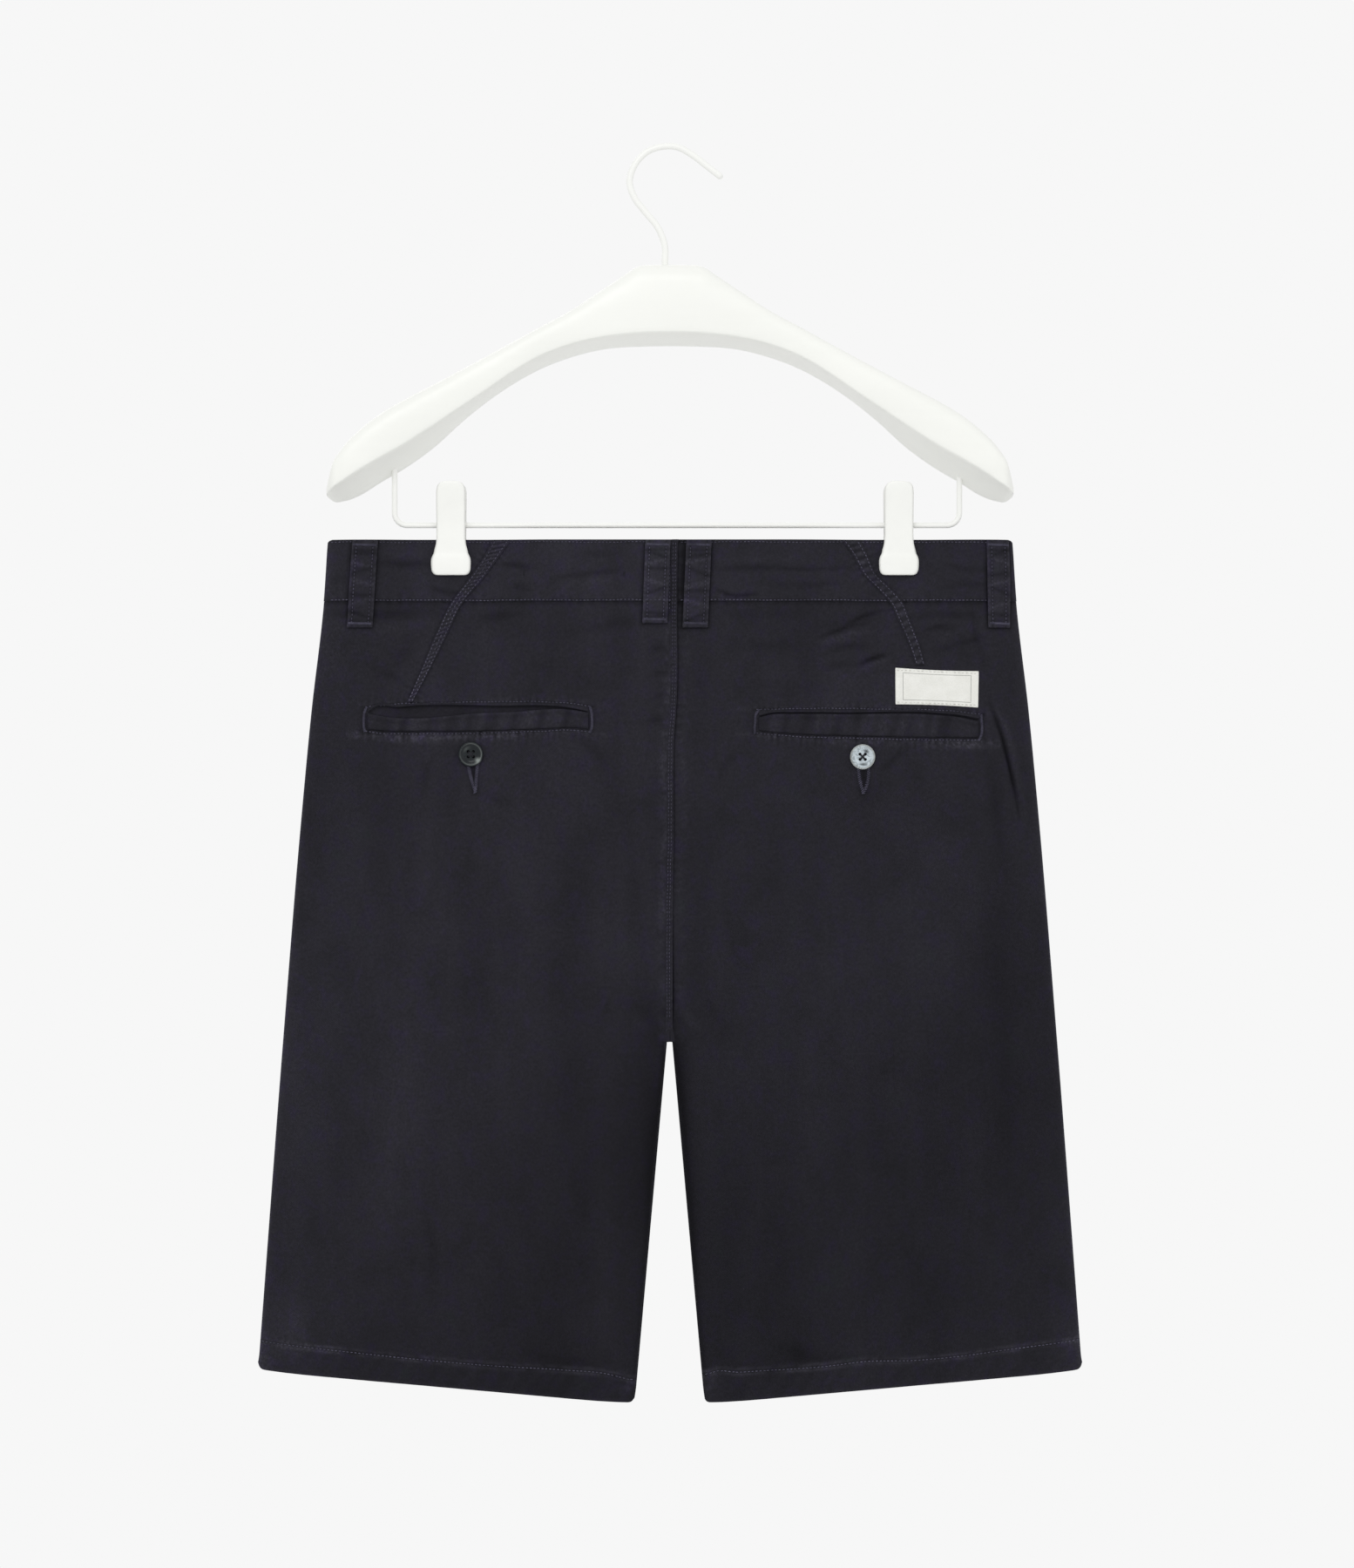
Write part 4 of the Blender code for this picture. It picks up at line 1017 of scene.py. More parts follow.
def lacquer(name, slot, tint, grain, rough, depth):
    """White lacquer or coating: a faint orange peel, soft unevenness, and a trace of what is under it."""
    t = Tree(name)
    at = t.place()
    peel = t.noise(at, 420.0, 3.0, 0.5)
    broad = t.noise(at, 14.0, 3.0, 0.5)
    marks = t.noise(t.stretched(at, grain), 60.0, 5.0, 0.65, 0.4)
    scuff = t.noise(at, 95.0, 5.0, 0.7)
    value = t.times(
        t.range(broad, 0.3, 0.7, 0.985, 1.01),
        t.range(marks, 0.3, 0.7, 0.985, 1.01),
        t.range(scuff, 0.2, 0.36, 0.975, 1.0),
    )
    t.set(Base_Color=t.shaded((*tint, 1), value))
    t.set(Roughness=t.plus(t.range(scuff, 0.3, 0.7, -0.05, 0.06), rough))
    t.set(Specular_IOR_Level=0.42, Coat_Weight=0.15, Coat_Roughness=0.3)
    t.set(Normal=t.bump(t.plus(peel, t.times(marks, 0.7)), depth, 0.35))
    return t.material, slot


TWILL = navy_twill("navy twill", 0.86)
TWILL_BAND = navy_twill("navy twill waistband", 0.94)
TWILL_TRIM = navy_twill("navy twill trim", 0.98)
THREAD = thread("navy thread", "navy_twill", (0.046, 0.044, 0.068), (0.100, 0.095, 0.138))
THREAD_DARK = thread("dark thread", "navy_twill", (0.010, 0.010, 0.014), (0.018, 0.018, 0.024))
THREAD_SATIN = thread("satin thread", "navy_twill", (0.036, 0.034, 0.054), (0.074, 0.070, 0.106))
THREAD_TAPE = thread("tape thread", "label_tape", (0.62, 0.62, 0.57), (0.76, 0.76, 0.71))
LABEL = label_tape("label tape")
BUTTON_DARK = button_resin(
    "button resin dark", (0.008, 0.011, 0.013), (0.040, 0.051, 0.055), 0.66, (0.24, 0.265, 0.255)
)
# the right back button is the same kind as the dark ones; its light grey-blue colour is a painted reflection
# of bright light
BUTTON_PAINTED_REFLECTION = button_resin(
    "button resin painted reflection", (0.10, 0.13, 0.15), (0.56, 0.63, 0.67), 0.42, (0.27, 0.265, 0.235)
)
EVEN = (1.0, 1.0, 1.0)
WOOD = lacquer("white lacquered wood", "white_wood", (0.898, 0.906, 0.866), (0.06, 1.0, 1.0), 0.40, 0.00004)
WIRE = lacquer("white coated wire", "white_wire", (0.898, 0.903, 0.875), EVEN, 0.36, 0.00002)
PLASTIC = lacquer("white moulded plastic", "white_plastic", (0.895, 0.902, 0.868), EVEN, 0.34, 0.00003)


# ------------------------------------------------------------------ panels and waistband


def columns_for(side, face, step):
    """Shares of the way from the side seam to the inner edge: close together where the cloth turns."""
    width = 0.2380  # about what a panel measures
    edge = np.array([0.0, 0.25, 0.8, 1.7, 3.0, 4.8, 7.0, 9.6, 12.6]) * MM
    start = edge[-1]
    crease = spaced((start, 0.032, 0.0009)) if (side, face) == (RIGHT, BACK) else edge[-1:]
    middle = np.linspace(crease[-1], width - edge[-1], int((width - crease[-1] - edge[-1]) / step))
    return np.concatenate([edge[:-1], crease[:-1], middle, (width - edge[:-1])[::-1]]) / width


HEM_CORNER_SIDE, HEM_CORNER_INSEAM, WAIST_CORNER = 0.0042, 0.0032, 0.0030
CORNER_BLEND = 0.010


def corner(distance, radius):
    """How far a rounded corner keeps back from a square one."""
    inside = np.clip(radius - distance, 0, None)
    return radius - np.sqrt(np.clip(radius**2 - inside**2, 0, None))


def cloth_grid(side, face, drops, shares, rise, thickness, fold=0.0):
    drops = np.asarray(drops)[:, None]
    first, last = side_x(side, drops), inner_x(side, face, drops)
    x = first + (last - first) * shares[None, :]
    to_side, to_inner = np.abs(x - first), np.abs(x - last)
    at_hem = np.clip((drops - SIDE_LENGTH) / CORNER_BLEND + 1, 0, 1) ** 1.5
    at_waist = np.clip(1 - drops / CORNER_BLEND, 0, 1) ** 1.5
    drops = drops - at_hem * (corner(to_side, HEM_CORNER_SIDE) + corner(to_inner, HEM_CORNER_INSEAM))
    drops = drops + at_waist * corner(to_side, WAIST_CORNER)
    points, normals = base(side, face, x, drops)
    in_leg = drops[:, 0] > CROTCH_DROP
    normals[:, 0] = (side, 0, 0)
    normals[in_leg, -1] = (-side, 0, 0)
    normals[~in_leg, -1] = (0, face, 0)
    out, tone = relief(side, face, x, drops)
    wall = thickness + fold * (drops >= SIDE_LENGTH - HEM_HEIGHT)
    outer = points + normals * (out + rise)[..., None]
    inner = points + normals * (out + rise - wall)[..., None]
    outer[:, 0], inner[:, 0] = points[:, 0], points[:, 0] - normals[:, 0] * wall[:, :1]
    return outer, inner, tone


PANEL_ROWS = {
    BACK: spaced(
        (BAND_HEIGHT + GAP, 0.048, 0.0008),
        (0.048, 0.1045, 0.0016),
        (0.1045, 0.1325, 0.0005),
        (0.1325, 0.176, 0.0015),
        (0.176, CROTCH_DROP, 0.0026),
    ),
    FRONT: spaced((BAND_HEIGHT + GAP, 0.048, 0.001), (0.048, 0.200, 0.0022), (0.200, CROTCH_DROP, 0.003)),
}
LEG_ROWS = spaced(
    (CROTCH_DROP + 0.0002, 0.5150, 0.0029),
    (0.5150, 0.5260, 0.0007),
    (0.5260, SIDE_LENGTH - 0.0010, 0.0012),
    (SIDE_LENGTH - 0.0010, SIDE_LENGTH, 0.0005),
)
BAND_ROWS = spaced((0.0003, 0.0045, 0.0005), (0.0045, 0.0355, 0.0011), (0.0355, BAND_HEIGHT, 0.0005))
# The part of each piece's cut that shows, in metres: width, length and area
PANEL_CUT = (0.2700, 0.5210, 0.1250)
BAND_CUT = (0.2250, 0.0400, 0.0090)

sheets = []
for side in (LEFT, RIGHT):
    for face in (BACK, FRONT):
        where = f"{FACE_NAMES[face]}_{SIDE_NAMES[side]}"
        shares = columns_for(side, face, 0.0019 if face == BACK else 0.0026)
        rows = np.concatenate([PANEL_ROWS[face], LEG_ROWS])
        outer, inner, tone = cloth_grid(side, face, rows, shares, 0.0, CLOTH, HEM_FOLD)
        panel = shell("panel_" + where, outer, inner, TWILL, strip_uv(outer), tone, (0, 0, 0.0002, 0))
        sheets.append((panel, PANEL_CUT, ["waistband_" + where]))
        shares = columns_for(side, face, 0.0016 if face == BACK else 0.0022)
        outer, inner, tone = cloth_grid(side, face, BAND_ROWS, shares, BAND_RISE, BAND_CLOTH)
        rims = (0.0003, 0, 0.0004, 0)
        band = shell("waistband_" + where, outer, inner, TWILL_BAND, strip_uv(outer), tone, rims)
        sheets.append((band, BAND_CUT, ["clip_" + SIDE_NAMES[side] + "_" + FACE_NAMES[face]]))
for obj, (width, length, area), rests in sheets:
    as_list(rests)


# ------------------------------------------------------------------ pieces that lie on the cloth


def laid(name, side, face, grid, lift, thickness, finish, tone, bulge=0.0003, uv=None):
    """A thin shell over a grid of (x, drop), with lift and thickness for each point."""
    x, drop = grid[..., 0], grid[..., 1]
    outer = place(side, face, x, drop, lift + thickness)
    inner = place(side, face, x, drop, lift)
    return shell(name, outer, inner, finish, strip_uv(outer) if uv is None else uv, tone, (bulge,) * 4)


def level_grid(x, drops):
    """Grid of (x, drop) whose rows are level."""
    return np.stack(np.broadcast_arrays(x, drops[:, None]), -1)


def upright_grid(x, top, foot, count):
    """Grid of (x, drop) whose columns stand at x and run down from one row to another."""
    v = np.linspace(0, 1, count)[:, None]
    return np.stack(np.broadcast_arrays(x, top * (1 - v) + foot * v), -1)


def ribbon(route, across, step):
    """(level grid along a strip, its path). route holds (x, drop, width), across the shares of the width."""
    path = curved(route, step)
    return level_grid(path[:, 0:1] + path[:, 2:3] * np.array(across), path[:, 1]), path


def pillow(count, flat):
    """Shares from -0.5 to 0.5 with a cushion-like profile, thin at both edges."""
    s = np.linspace(-0.5, 0.5, count)
    return s, 1 - np.clip((np.abs(s) * 2 - flat) / (1 - flat), 0, 1) ** 2 * 0.75


# diagonal felled seams: two rows of stitches with a ladder of small ridges between them
SEAM_ROW = 0.36  # how far the rows of stitches lie from the middle, as a share of the width
for side, route in DIAGONAL_SEAMS.items():
    shares, profile = pillow(13, 0.7)
    grid, path = ribbon(route, shares, 0.0006)
    length = np.linspace(0, steps(path[:, :2]).sum(), len(path))
    slant = length[:, None] + shares * 0.0030
    pitch = 0.0034 if side == LEFT else 0.0053
    phase = 2 * np.pi * slant / pitch + 1.6 * line_noise(slant, 0.009, 310 + side)
    ladder = np.cos(phase) * np.clip(1 - (np.abs(shares) * 2 / 0.8) ** 4, 0, 1)
    strength = 0.75 + 0.25 * line_noise(length, 0.012, 320 + side)[:, None]
    grooves = bell((np.abs(shares) - SEAM_ROW) / 0.05)
    thick = np.clip(TRIM * profile + 0.00030 * ladder * strength - 0.00022 * grooves, 0.00025, None)
    # painted light on the ladder's ridges and painted shade in the grooves of the stitch rows, over a
    # slightly lighter strip
    tone = 0.62 * ladder * strength + 0.10 - 0.30 * grooves
    laid(f"diagonal_seam_{SIDE_NAMES[side]}", side, BACK, grid, LIFT, thick, TWILL_TRIM, tone)


# centre back seam: a strip that laps over from the left
SEAM_STRIP, SEAM_FOOT = 0.0044, 0.3262


def on_seam(x, drop, lift):
    """Points on the strip of the centre back seam, moved out by lift."""
    x, drop, lift = np.broadcast_arrays(x, drop, lift)
    beside = np.minimum(x, inner_x(LEFT, BACK, drop) - SEAM_STRIP / 2)
    level = np.abs(place(LEFT, BACK, beside, drop)[..., 1])
    return np.stack([x, BACK * (level + lift), -WAIST_BELOW_HOOK - drop], -1)


drops = spaced((0.0001, SEAM_FOOT, 0.0010))
profile = pillow(13, 0.6)[1]
across = np.linspace(-SEAM_STRIP, 0.0, 13)[None]
laps = 0.0006 * (1 - eased(drops / 0.004) + eased((drops - 0.16) / 0.10))
grid = level_grid((inner_x(LEFT, BACK, drops) + 0.0001 + laps)[:, None] + across, drops)
phase = 2 * np.pi * drops / 0.0048 + 2 * line_noise(drops, 0.009, 331)
ripple = np.cos(phase[:, None] + across * 700) * (0.6 + 0.4 * line_noise(drops, 0.013, 332))[:, None]
rise = 0.25 + 0.75 * eased((across + SEAM_STRIP) / 0.0030)
thick = 0.75 * TRIM * rise * np.where(across > -0.001, profile, 1.0)
thick = thick * (0.45 + 0.55 * eased((SEAM_FOOT - drops) / 0.10))[:, None] + 0.00011 * ripple
thick = np.clip(thick, 0.00018, None)
# the strip's tone: painted light and shade on its ripples, worn lighter along both edges, and a painted
# shadow of the belt loops near the waist
wear_and_light = 0.30 + 0.45 * line_noise(drops, 0.016, 333)[:, None]
tone = 0.24 * ripple - 0.04 + 0.42 * wear_and_light * bell(across / 0.0007)
tone = tone + 0.30 * wear_and_light * bell((across + SEAM_STRIP) / 0.0012)
tone -= 0.30 * eased((0.060 - drops) / 0.006)[:, None]
sunk = LIFT * eased((across + SEAM_STRIP) / 0.0016)
outer, inner = (on_seam(grid[..., 0], grid[..., 1], lift) for lift in (sunk + thick, sunk))
shell("centre_back_seam", outer, inner, TWILL_TRIM, strip_uv(outer), tone, (0.0001,) * 4)

# belt loops. Their ripples: share of the way down, size
LOOP_RIPPLES = ((0.15, -1.0), (0.26, 0.9), (0.37, -0.9), (0.49, 1.1), (0.61, -1.0), (0.73, 0.8), (0.86, -1.0))
LOOP_ROW = 0.0026  # how far a loop's stitches lie from its edges


def loop_lift(f):
    return LIFT + LOOP_ARCH * np.sin(np.pi * np.clip(f, 0, 1)) ** 0.7


def loop_thickness(key, f, s, width):
    """Thickness and tone of a loop at f down its length and s across it, from -0.5 to 0.5. The tone is
    painted light and shade: lighter on the ripples and on the folds at the top and at the foot, darker in
    the stitch grooves. It is also lighter along the edges.
    """
    rib = np.zeros(np.broadcast_shapes(f.shape, s.shape))
    for k, (at, size) in enumerate(LOOP_RIPPLES):
        shift = 0.03 * math.sin(2.1 * k + key) + 0.10 * s * math.sin(1.7 * key + 2.3 * k)
        rib = rib + size * bell((f - at - shift) / 0.026) * (1 + 0.5 * s * math.sin(3.1 * k + key))
    edge = (0.5 - np.abs(s)) * width
    groove = bell((edge - LOOP_ROW) / 0.0006)
    fold = bell((f - 0.050) / 0.022) - 0.8 * bell((f - 0.115) / 0.015)
    foot = bell((f - 0.965) / 0.016) - 0.7 * bell((f - 0.925) / 0.014)
    thick = LOOP_CLOTH * (0.55 + 0.45 * eased(edge / 0.0012)) + 0.00026 * rib - 0.00026 * groove
    thick = thick + 0.00030 * fold + 0.00024 * foot
    tone = 0.50 * rib - 0.40 * groove + 0.45 * bell(edge / 0.0009) + 0.50 * fold + 0.62 * foot + 0.12
    return np.clip(thick, 0.0004, None), np.clip(tone, -1, 1)


for key, (name, side, face, top_x, bottom_x, width, loop_foot) in enumerate(BELT_LOOPS):
    drops = np.linspace(LOOP_TOP, loop_foot, 84)
    f = ((drops - LOOP_TOP) / (loop_foot - LOOP_TOP))[:, None]
    s = np.linspace(-0.5, 0.5, 25)[None]
    reach = side_x(RIGHT, drops)[:, None] - 0.0012
    grid = level_grid(np.clip(loop_x(top_x, bottom_x, f) + width * s, -reach, reach), drops)
    thick, tone = loop_thickness(key, f, s, width)
    laid(name, side, face, grid, loop_lift(f), thick, TWILL_TRIM, tone, 0.0004)

# back pockets: the folded upper edge of the mouth, and the welt that fills it from below
for side in (LEFT, RIGHT):
    ends = np.array(POCKET_ENDS[side]) * MM
    x = np.linspace(ends[0] + 0.0026, ends[1] - 0.0026, 150)
    top, foot = drawn_row(POCKET_WELTS[side], x), drawn_row(POCKET_FEET[side], x) - 0.0018
    grid = upright_grid(x, top, foot, 16)
    edge = grid[..., 1] - top
    waves = soft_noise(grid[..., 0], grid[..., 1] * 0.4, 0.0075, 360 + side)
    folds = line_noise(grid[..., 0] + 0.25 * grid[..., 1], 0.0042, 364 + side)
    thick = WELT_CLOTH * (0.55 + 0.45 * eased(edge / 0.0010)) + 0.00020 * waves + 0.00016 * folds
    # the welt's tone: lighter along its top edge and darker a little below it, painted light and shade on its
    # waves and folds, and painted shade at its foot
    tone = 0.30 * bell(edge / 0.0009) - 0.26 * bell((edge - 0.0024) / 0.0014)
    tone = tone + 0.18 * waves + 0.26 * folds + 0.12 - 0.5 * bell((foot - grid[..., 1]) / 0.0007)
    thick = np.clip(thick, 0.0003, None)
    laid(f"pocket_welt_{SIDE_NAMES[side]}", side, BACK, grid, LIFT, thick, TWILL, tone)
    foot = drawn_row(POCKET_MOUTHS[side], x) - 0.0002
    top = np.minimum(drawn_row(POCKET_TOPS[side], x) + 0.0006, foot - 0.0008)
    grid = upright_grid(x, top, foot, 7)
    tone = 0.20 * bell((np.linspace(0, 1, 7)[:, None] - 0.85) / 0.2) + 0 * grid[..., 0]
    laid(f"pocket_lip_{SIDE_NAMES[side]}", side, BACK, grid, LIFT, 0.0005, TWILL, tone)

# label: slightly cockled between its stitches, with painted light and shade on the cockles
LABEL_CORNERS = np.array(((0.1463, 0.0835), (0.2000, 0.0858), (0.1995, 0.1091), (0.1463, 0.1070)))


def label_at(u, v):
    """(x, drop) at u across and v down the label, both from 0 to 1."""
    u, v = np.asarray(u)[..., None], np.asarray(v)[..., None]
    tl, tr, br, bl = LABEL_CORNERS
    bow = np.concatenate([0 * u, 0.0005 * np.sin(np.pi * u) * (1 - 2 * v)], -1)
    return (tl * (1 - u) + tr * u) * (1 - v) + (bl * (1 - u) + br * u) * v + bow


u, v = np.meshgrid(np.linspace(0, 1, 78), np.linspace(0, 1, 34))
from_end, from_edge = np.minimum(u, 1 - u) * LABEL_WIDTH, np.minimum(v, 1 - v) * LABEL_HEIGHT
along_edge = u * LABEL_WIDTH + 0.004 * (v > 0.5)
cockle = np.cos(2 * np.pi * along_edge / 0.0040) * bell(from_edge / 0.0016)
thick = TRIM * (0.7 + 0.3 * eased(np.minimum(from_end, from_edge) / 0.0008)) + 0.00014 * cockle
thick = thick + 0.00012 * soft_noise(u * 0.054, v * 0.023, 0.009, 371)
flat_uv = np.stack([(u - 0.5) * LABEL_WIDTH, (0.5 - v) * LABEL_HEIGHT], -1)
laid("label", RIGHT, BACK, label_at(u, v), LIFT, thick, LABEL, 0.10 * cockle, 0.0002, flat_uv)

# fly flap: drop, width
FLY_ROWS = np.array([
    (0.0412, 0.0360),
    (0.0800, 0.0360),
    (0.1200, 0.0360),
    (0.1500, 0.0358),
    (0.1650, 0.0330),
    (0.1780, 0.0250),
    (0.1860, 0.0140),
    (0.1885, 0.0060),
])
drops = spaced((FLY_ROWS[0, 0], FLY_ROWS[-1, 0], 0.0012))
s = np.linspace(0, 1, 32)
grid = level_grid(-GAP - along(FLY_ROWS, 1, drops)[:, None] * s, drops)
tone = 0.30 * bell(s / 0.05) + 0 * grid[..., 0] - 0.15 * bell((s - 0.9) / 0.04)
thick = TRIM * (0.6 + 0.4 * eased(np.minimum(s, 1 - s) * FLY_ROWS[0, 1] / 0.0010))
laid("fly", LEFT, FRONT, grid, LIFT, thick, TWILL, tone)


# ------------------------------------------------------------------ sewing


class Threads:
    """Short rounded strands, gathered into one mesh."""

    SIDES = 6

    def __init__(self):
        self.points, self.faces, self.uvs, self.count = [], [], [], 0

    def strand(self, path, radius, up):
        """One strand along a short path of points. It tapers at both ends."""
        path = np.asarray(path, float)
        way = unit(np.gradient(path, axis=0))
        first = unit(np.cross(way, up))
        second = np.cross(first, way)
        size = radius * np.clip(np.sin(np.linspace(0.16, np.pi - 0.16, len(path))) ** 0.42, 0.3, 1)
        turn = np.arange(self.SIDES) * 2 * np.pi / self.SIDES
        ring = first[:, None] * np.cos(turn)[None, :, None] + second[:, None] * np.sin(turn)[None, :, None]
        ring = path[:, None] + ring * size[:, None, None]
        rings, sides = len(path), self.SIDES
        self.faces.extend(tube(rings, sides, self.count))
        self.faces.append(tuple(self.count + k for k in reversed(range(sides))))
        self.faces.append(tuple(self.count + (rings - 1) * sides + k for k in range(sides)))
        self.points.extend(ring.reshape(-1, 3))
        for r in range(rings):
            for k in range(sides):
                self.uvs.append((r * 2.4 / rings + self.count * 0.37, k / sides * 1.2))
        self.count += rings * sides

    def made(self, name, finish):
        return piece(name, self.points, self.faces, finish, np.array(self.uvs))


def stitches(group, side, face, route, key, lift=0.0, pitch=0.0024, radius=0.00034, fill=0.66, surface=None):
    """A row of lockstitches along a route of (x, drop). lift is a number or a function of x and drop."""
    path = densely(route, 0.00025)
    total = (len(path) - 1) * 0.00025
    rng = np.random.RandomState(key)
    count = max(1, int(total / pitch))
    offsets = np.array([0.0, 0.22, 0.5, 0.78, 1.0])
    heights = np.array([-0.00016, 0.00012, 0.00022, 0.00012, -0.00016])
    starts = (np.arange(count) + 0.1 + rng.uniform(-0.06, 0.06, count)) * total / count
    lengths = pitch * fill * rng.uniform(0.9, 1.08, count)
    at = np.clip((starts[:, None] + lengths[:, None] * offsets) / total, 0, 1) * (len(path) - 1)
    x, drop = (np.interp(at, np.arange(len(path)), path[:, k]) for k in (0, 1))
    skew = rng.uniform(-0.00007, 0.00007, (count, 1)) * (offsets - 0.5)
    heights = heights + (lift(x, drop) if callable(lift) else lift)
    if surface is None:
        points = place(side, face, x, drop + skew, heights)
    else:
        points = surface(x, drop + skew, heights)
    for one in points:
        group.strand(one, radius * rng.uniform(0.92, 1.08), (0, face, 0))


def satin(
    group, side, face, route, width, key,
    lift=0.0, pitch=0.00052, radius=0.00030, height=0.00045, slope=0.0,
):
    """Close threads across a route of (x, drop), as in a bar tack or a worked end. height is how far they
    bow out, slope how far each leans along the route."""
    path = densely(route, pitch)
    way = unit(np.gradient(path, axis=0))
    across = np.stack([-way[:, 1], way[:, 0]], 1)
    rng = np.random.RandomState(key)
    s = np.array([-0.5, -0.3, 0.0, 0.3, 0.5])
    bow = np.array([-0.0002, 0.55, 1.0, 0.55, -0.0002]) * height
    widths = np.broadcast_to(width, len(path)) * rng.uniform(0.92, 1.08, len(path))
    lean = rng.uniform(-0.00012, 0.00012, len(path)) + pitch * 0.5 + slope
    x, drop = (
        path[:, k, None] + across[:, k, None] * s * widths[:, None] + way[:, k, None] * s * lean[:, None]
        for k in (0, 1)
    )
    bow = bow + (lift(x, drop) if callable(lift) else lift)
    for one in place(side, face, x, drop, bow):
        group.strand(one, radius, (0, face, 0))


# waistband and hems
for side in (LEFT, RIGHT):
    for face in (BACK, FRONT):
        where = f"{FACE_NAMES[face]}_{SIDE_NAMES[side]}"
        group = Threads()
        xs = np.linspace(side * 0.2205, float(inner_x(side, face, 0.01)) + side * 0.0012, 60)
        for k, drop in enumerate((BAND_STITCH_TOP, BAND_STITCH_FOOT)):
            wander = 0.00016 * np.sin(xs * 97 + k) + 0.00010 * np.sin(xs * 311 + k)
            row = np.stack([xs, drop + wander], 1)
            stitches(group, side, face, row, 11 + k, radius=(0.00026, 0.00033)[k])
        group.made("stitches_waistband_" + where, THREAD)
        group = Threads()
        xs = np.linspace(side * 0.2655, float(inner_x(side, face, HEM_STITCH)) + side * 0.0016, 60)
        stitches(group, side, face, np.stack([xs, hem_stitch_drop(side, xs)], 1), 21, pitch=0.0025)
        group.made("stitches_hem_" + where, THREAD)

# diagonal seams: two rows each, and a third in the left one
for side, route in DIAGONAL_SEAMS.items():
    group = Threads()
    for k, share in enumerate((-SEAM_ROW, SEAM_ROW)):
        row = ribbon(route, [share], 0.002)[0][:, 0]
        stitches(group, side, BACK, row, 31 + k, LIFT + TRIM - 0.00012)
    if side == LEFT:
        row = ribbon(route, [0.02], 0.002)[0][:, 0]
        row = row[(row[:, 1] > 0.006) & (row[:, 1] < 0.085)]
        stitches(group, side, BACK, row, 37, LIFT + TRIM - 0.0001, 0.0030, 0.00028, 0.5)
    group.made(f"stitches_diagonal_{SIDE_NAMES[side]}", THREAD)

# centre back: two rows on the strip, and a short one beside it below the waist edge
group = Threads()
levels = spaced((0.0020, 0.3110, 0.004))
for k, inside in enumerate((0.0013, 0.0029)):
    row = np.stack([inner_x(LEFT, BACK, levels) - inside + 0.00014 * np.sin(levels * 230 + k), levels], 1)
    lift, radius = LIFT + TRIM * (0.56 - 0.16 * k), 0.00028 - 0.00003 * k
    stitches(group, LEFT, BACK, row, 41 + k, lift, radius=radius, fill=0.58, surface=on_seam)
levels = levels[:12]
row = np.stack([inner_x(LEFT, BACK, levels) - 0.0050, levels], 1)
stitches(group, LEFT, BACK, row, 43, radius=0.00030, fill=0.60)
group.made("stitches_centre_back", THREAD_SATIN)

# belt loops: a row along each edge, a tack at the top and one at the foot. The loop to the left of the
# centre has a line of stitches across it too.
TACK_TOP, LINE_ACROSS, TACK_FOOT = 0.050, 0.72, 0.955
for key, (name, side, face, top_x, bottom_x, width, loop_foot) in enumerate(BELT_LOOPS):
    group = Threads()

    def on_loop(x, drop):
        f = (drop - LOOP_TOP) / (loop_foot - LOOP_TOP)
        s = (x - loop_x(top_x, bottom_x, f)) / width
        return loop_lift(f) + loop_thickness(key, f, np.clip(s, -0.5, 0.5), width)[0]

    fs = np.linspace(0.03, 0.97, 20)
    ds = LOOP_TOP + (loop_foot - LOOP_TOP) * fs
    for k, edge in enumerate((-1, 1)):
        xs = loop_x(top_x, bottom_x, fs) + edge * (width / 2 - LOOP_ROW)
        stitches(group, side, face, np.stack([xs, ds], 1), 51 + k + 2 * key, on_loop)
    across = (TACK_TOP, LINE_ACROSS, TACK_FOOT) if "centre_left" in name else (TACK_TOP, TACK_FOOT)
    for k, at in enumerate(across):
        d = LOOP_TOP + (loop_foot - LOOP_TOP) * at
        mid = loop_x(top_x, bottom_x, at)
        ends = ((mid - width * 0.44, d), (mid + width * 0.44, d + 0.0004))
        if at == LINE_ACROSS:
            stitches(group, side, face, ends, 61 + key, on_loop)
        else:
            satin(group, side, face, ends, 0.0015, 61 + k + key, on_loop, height=0.0003)
    group.made("stitches_" + name, THREAD_SATIN)

# back pockets: rows above and below the mouth, and a worked bar at each end
for side in (LEFT, RIGHT):
    ends = np.array(POCKET_ENDS[side]) * MM
    group = Threads()
    x = np.linspace(ends[0] + 0.0006, ends[1] - 0.0006, 60)
    for k, table in enumerate((POCKET_TOPS[side], POCKET_FEET[side])):
        row = drawn_row(table, x) + 0.00012 * np.sin(x * 300 + k)
        stitches(group, side, BACK, np.stack([x, row], 1), 71 + k, 0.0, 0.0023, 0.00036, 0.64)
    group.made(f"stitches_pocket_{SIDE_NAMES[side]}", THREAD)
    group = Threads()
    slant = 0.0012 if side == RIGHT else 0.0003
    for k in (0, 1):
        x, inward = ends[k], (0.0010, -0.0010)[k]
        top, foot = float(drawn_row(POCKET_TOPS[side], x)), float(drawn_row(POCKET_FEET[side], x))
        route = (
            (x + inward * 1.6 + slant, top + 0.0002),
            (x + inward * 0.4, top + 0.0030),
            (x, (top + foot) / 2),
            (x + inward * 0.3 - slant * 0.6, foot - 0.0020),
            (x + inward - slant, foot),
        )
        satin(
            group, side, BACK, curved(route, 0.001), 0.0018, 81 + k,
            height=0.0006, pitch=0.00085, radius=0.00036, slope=0.0004,
        )
    group.made(f"worked_ends_pocket_{SIDE_NAMES[side]}", THREAD_SATIN)

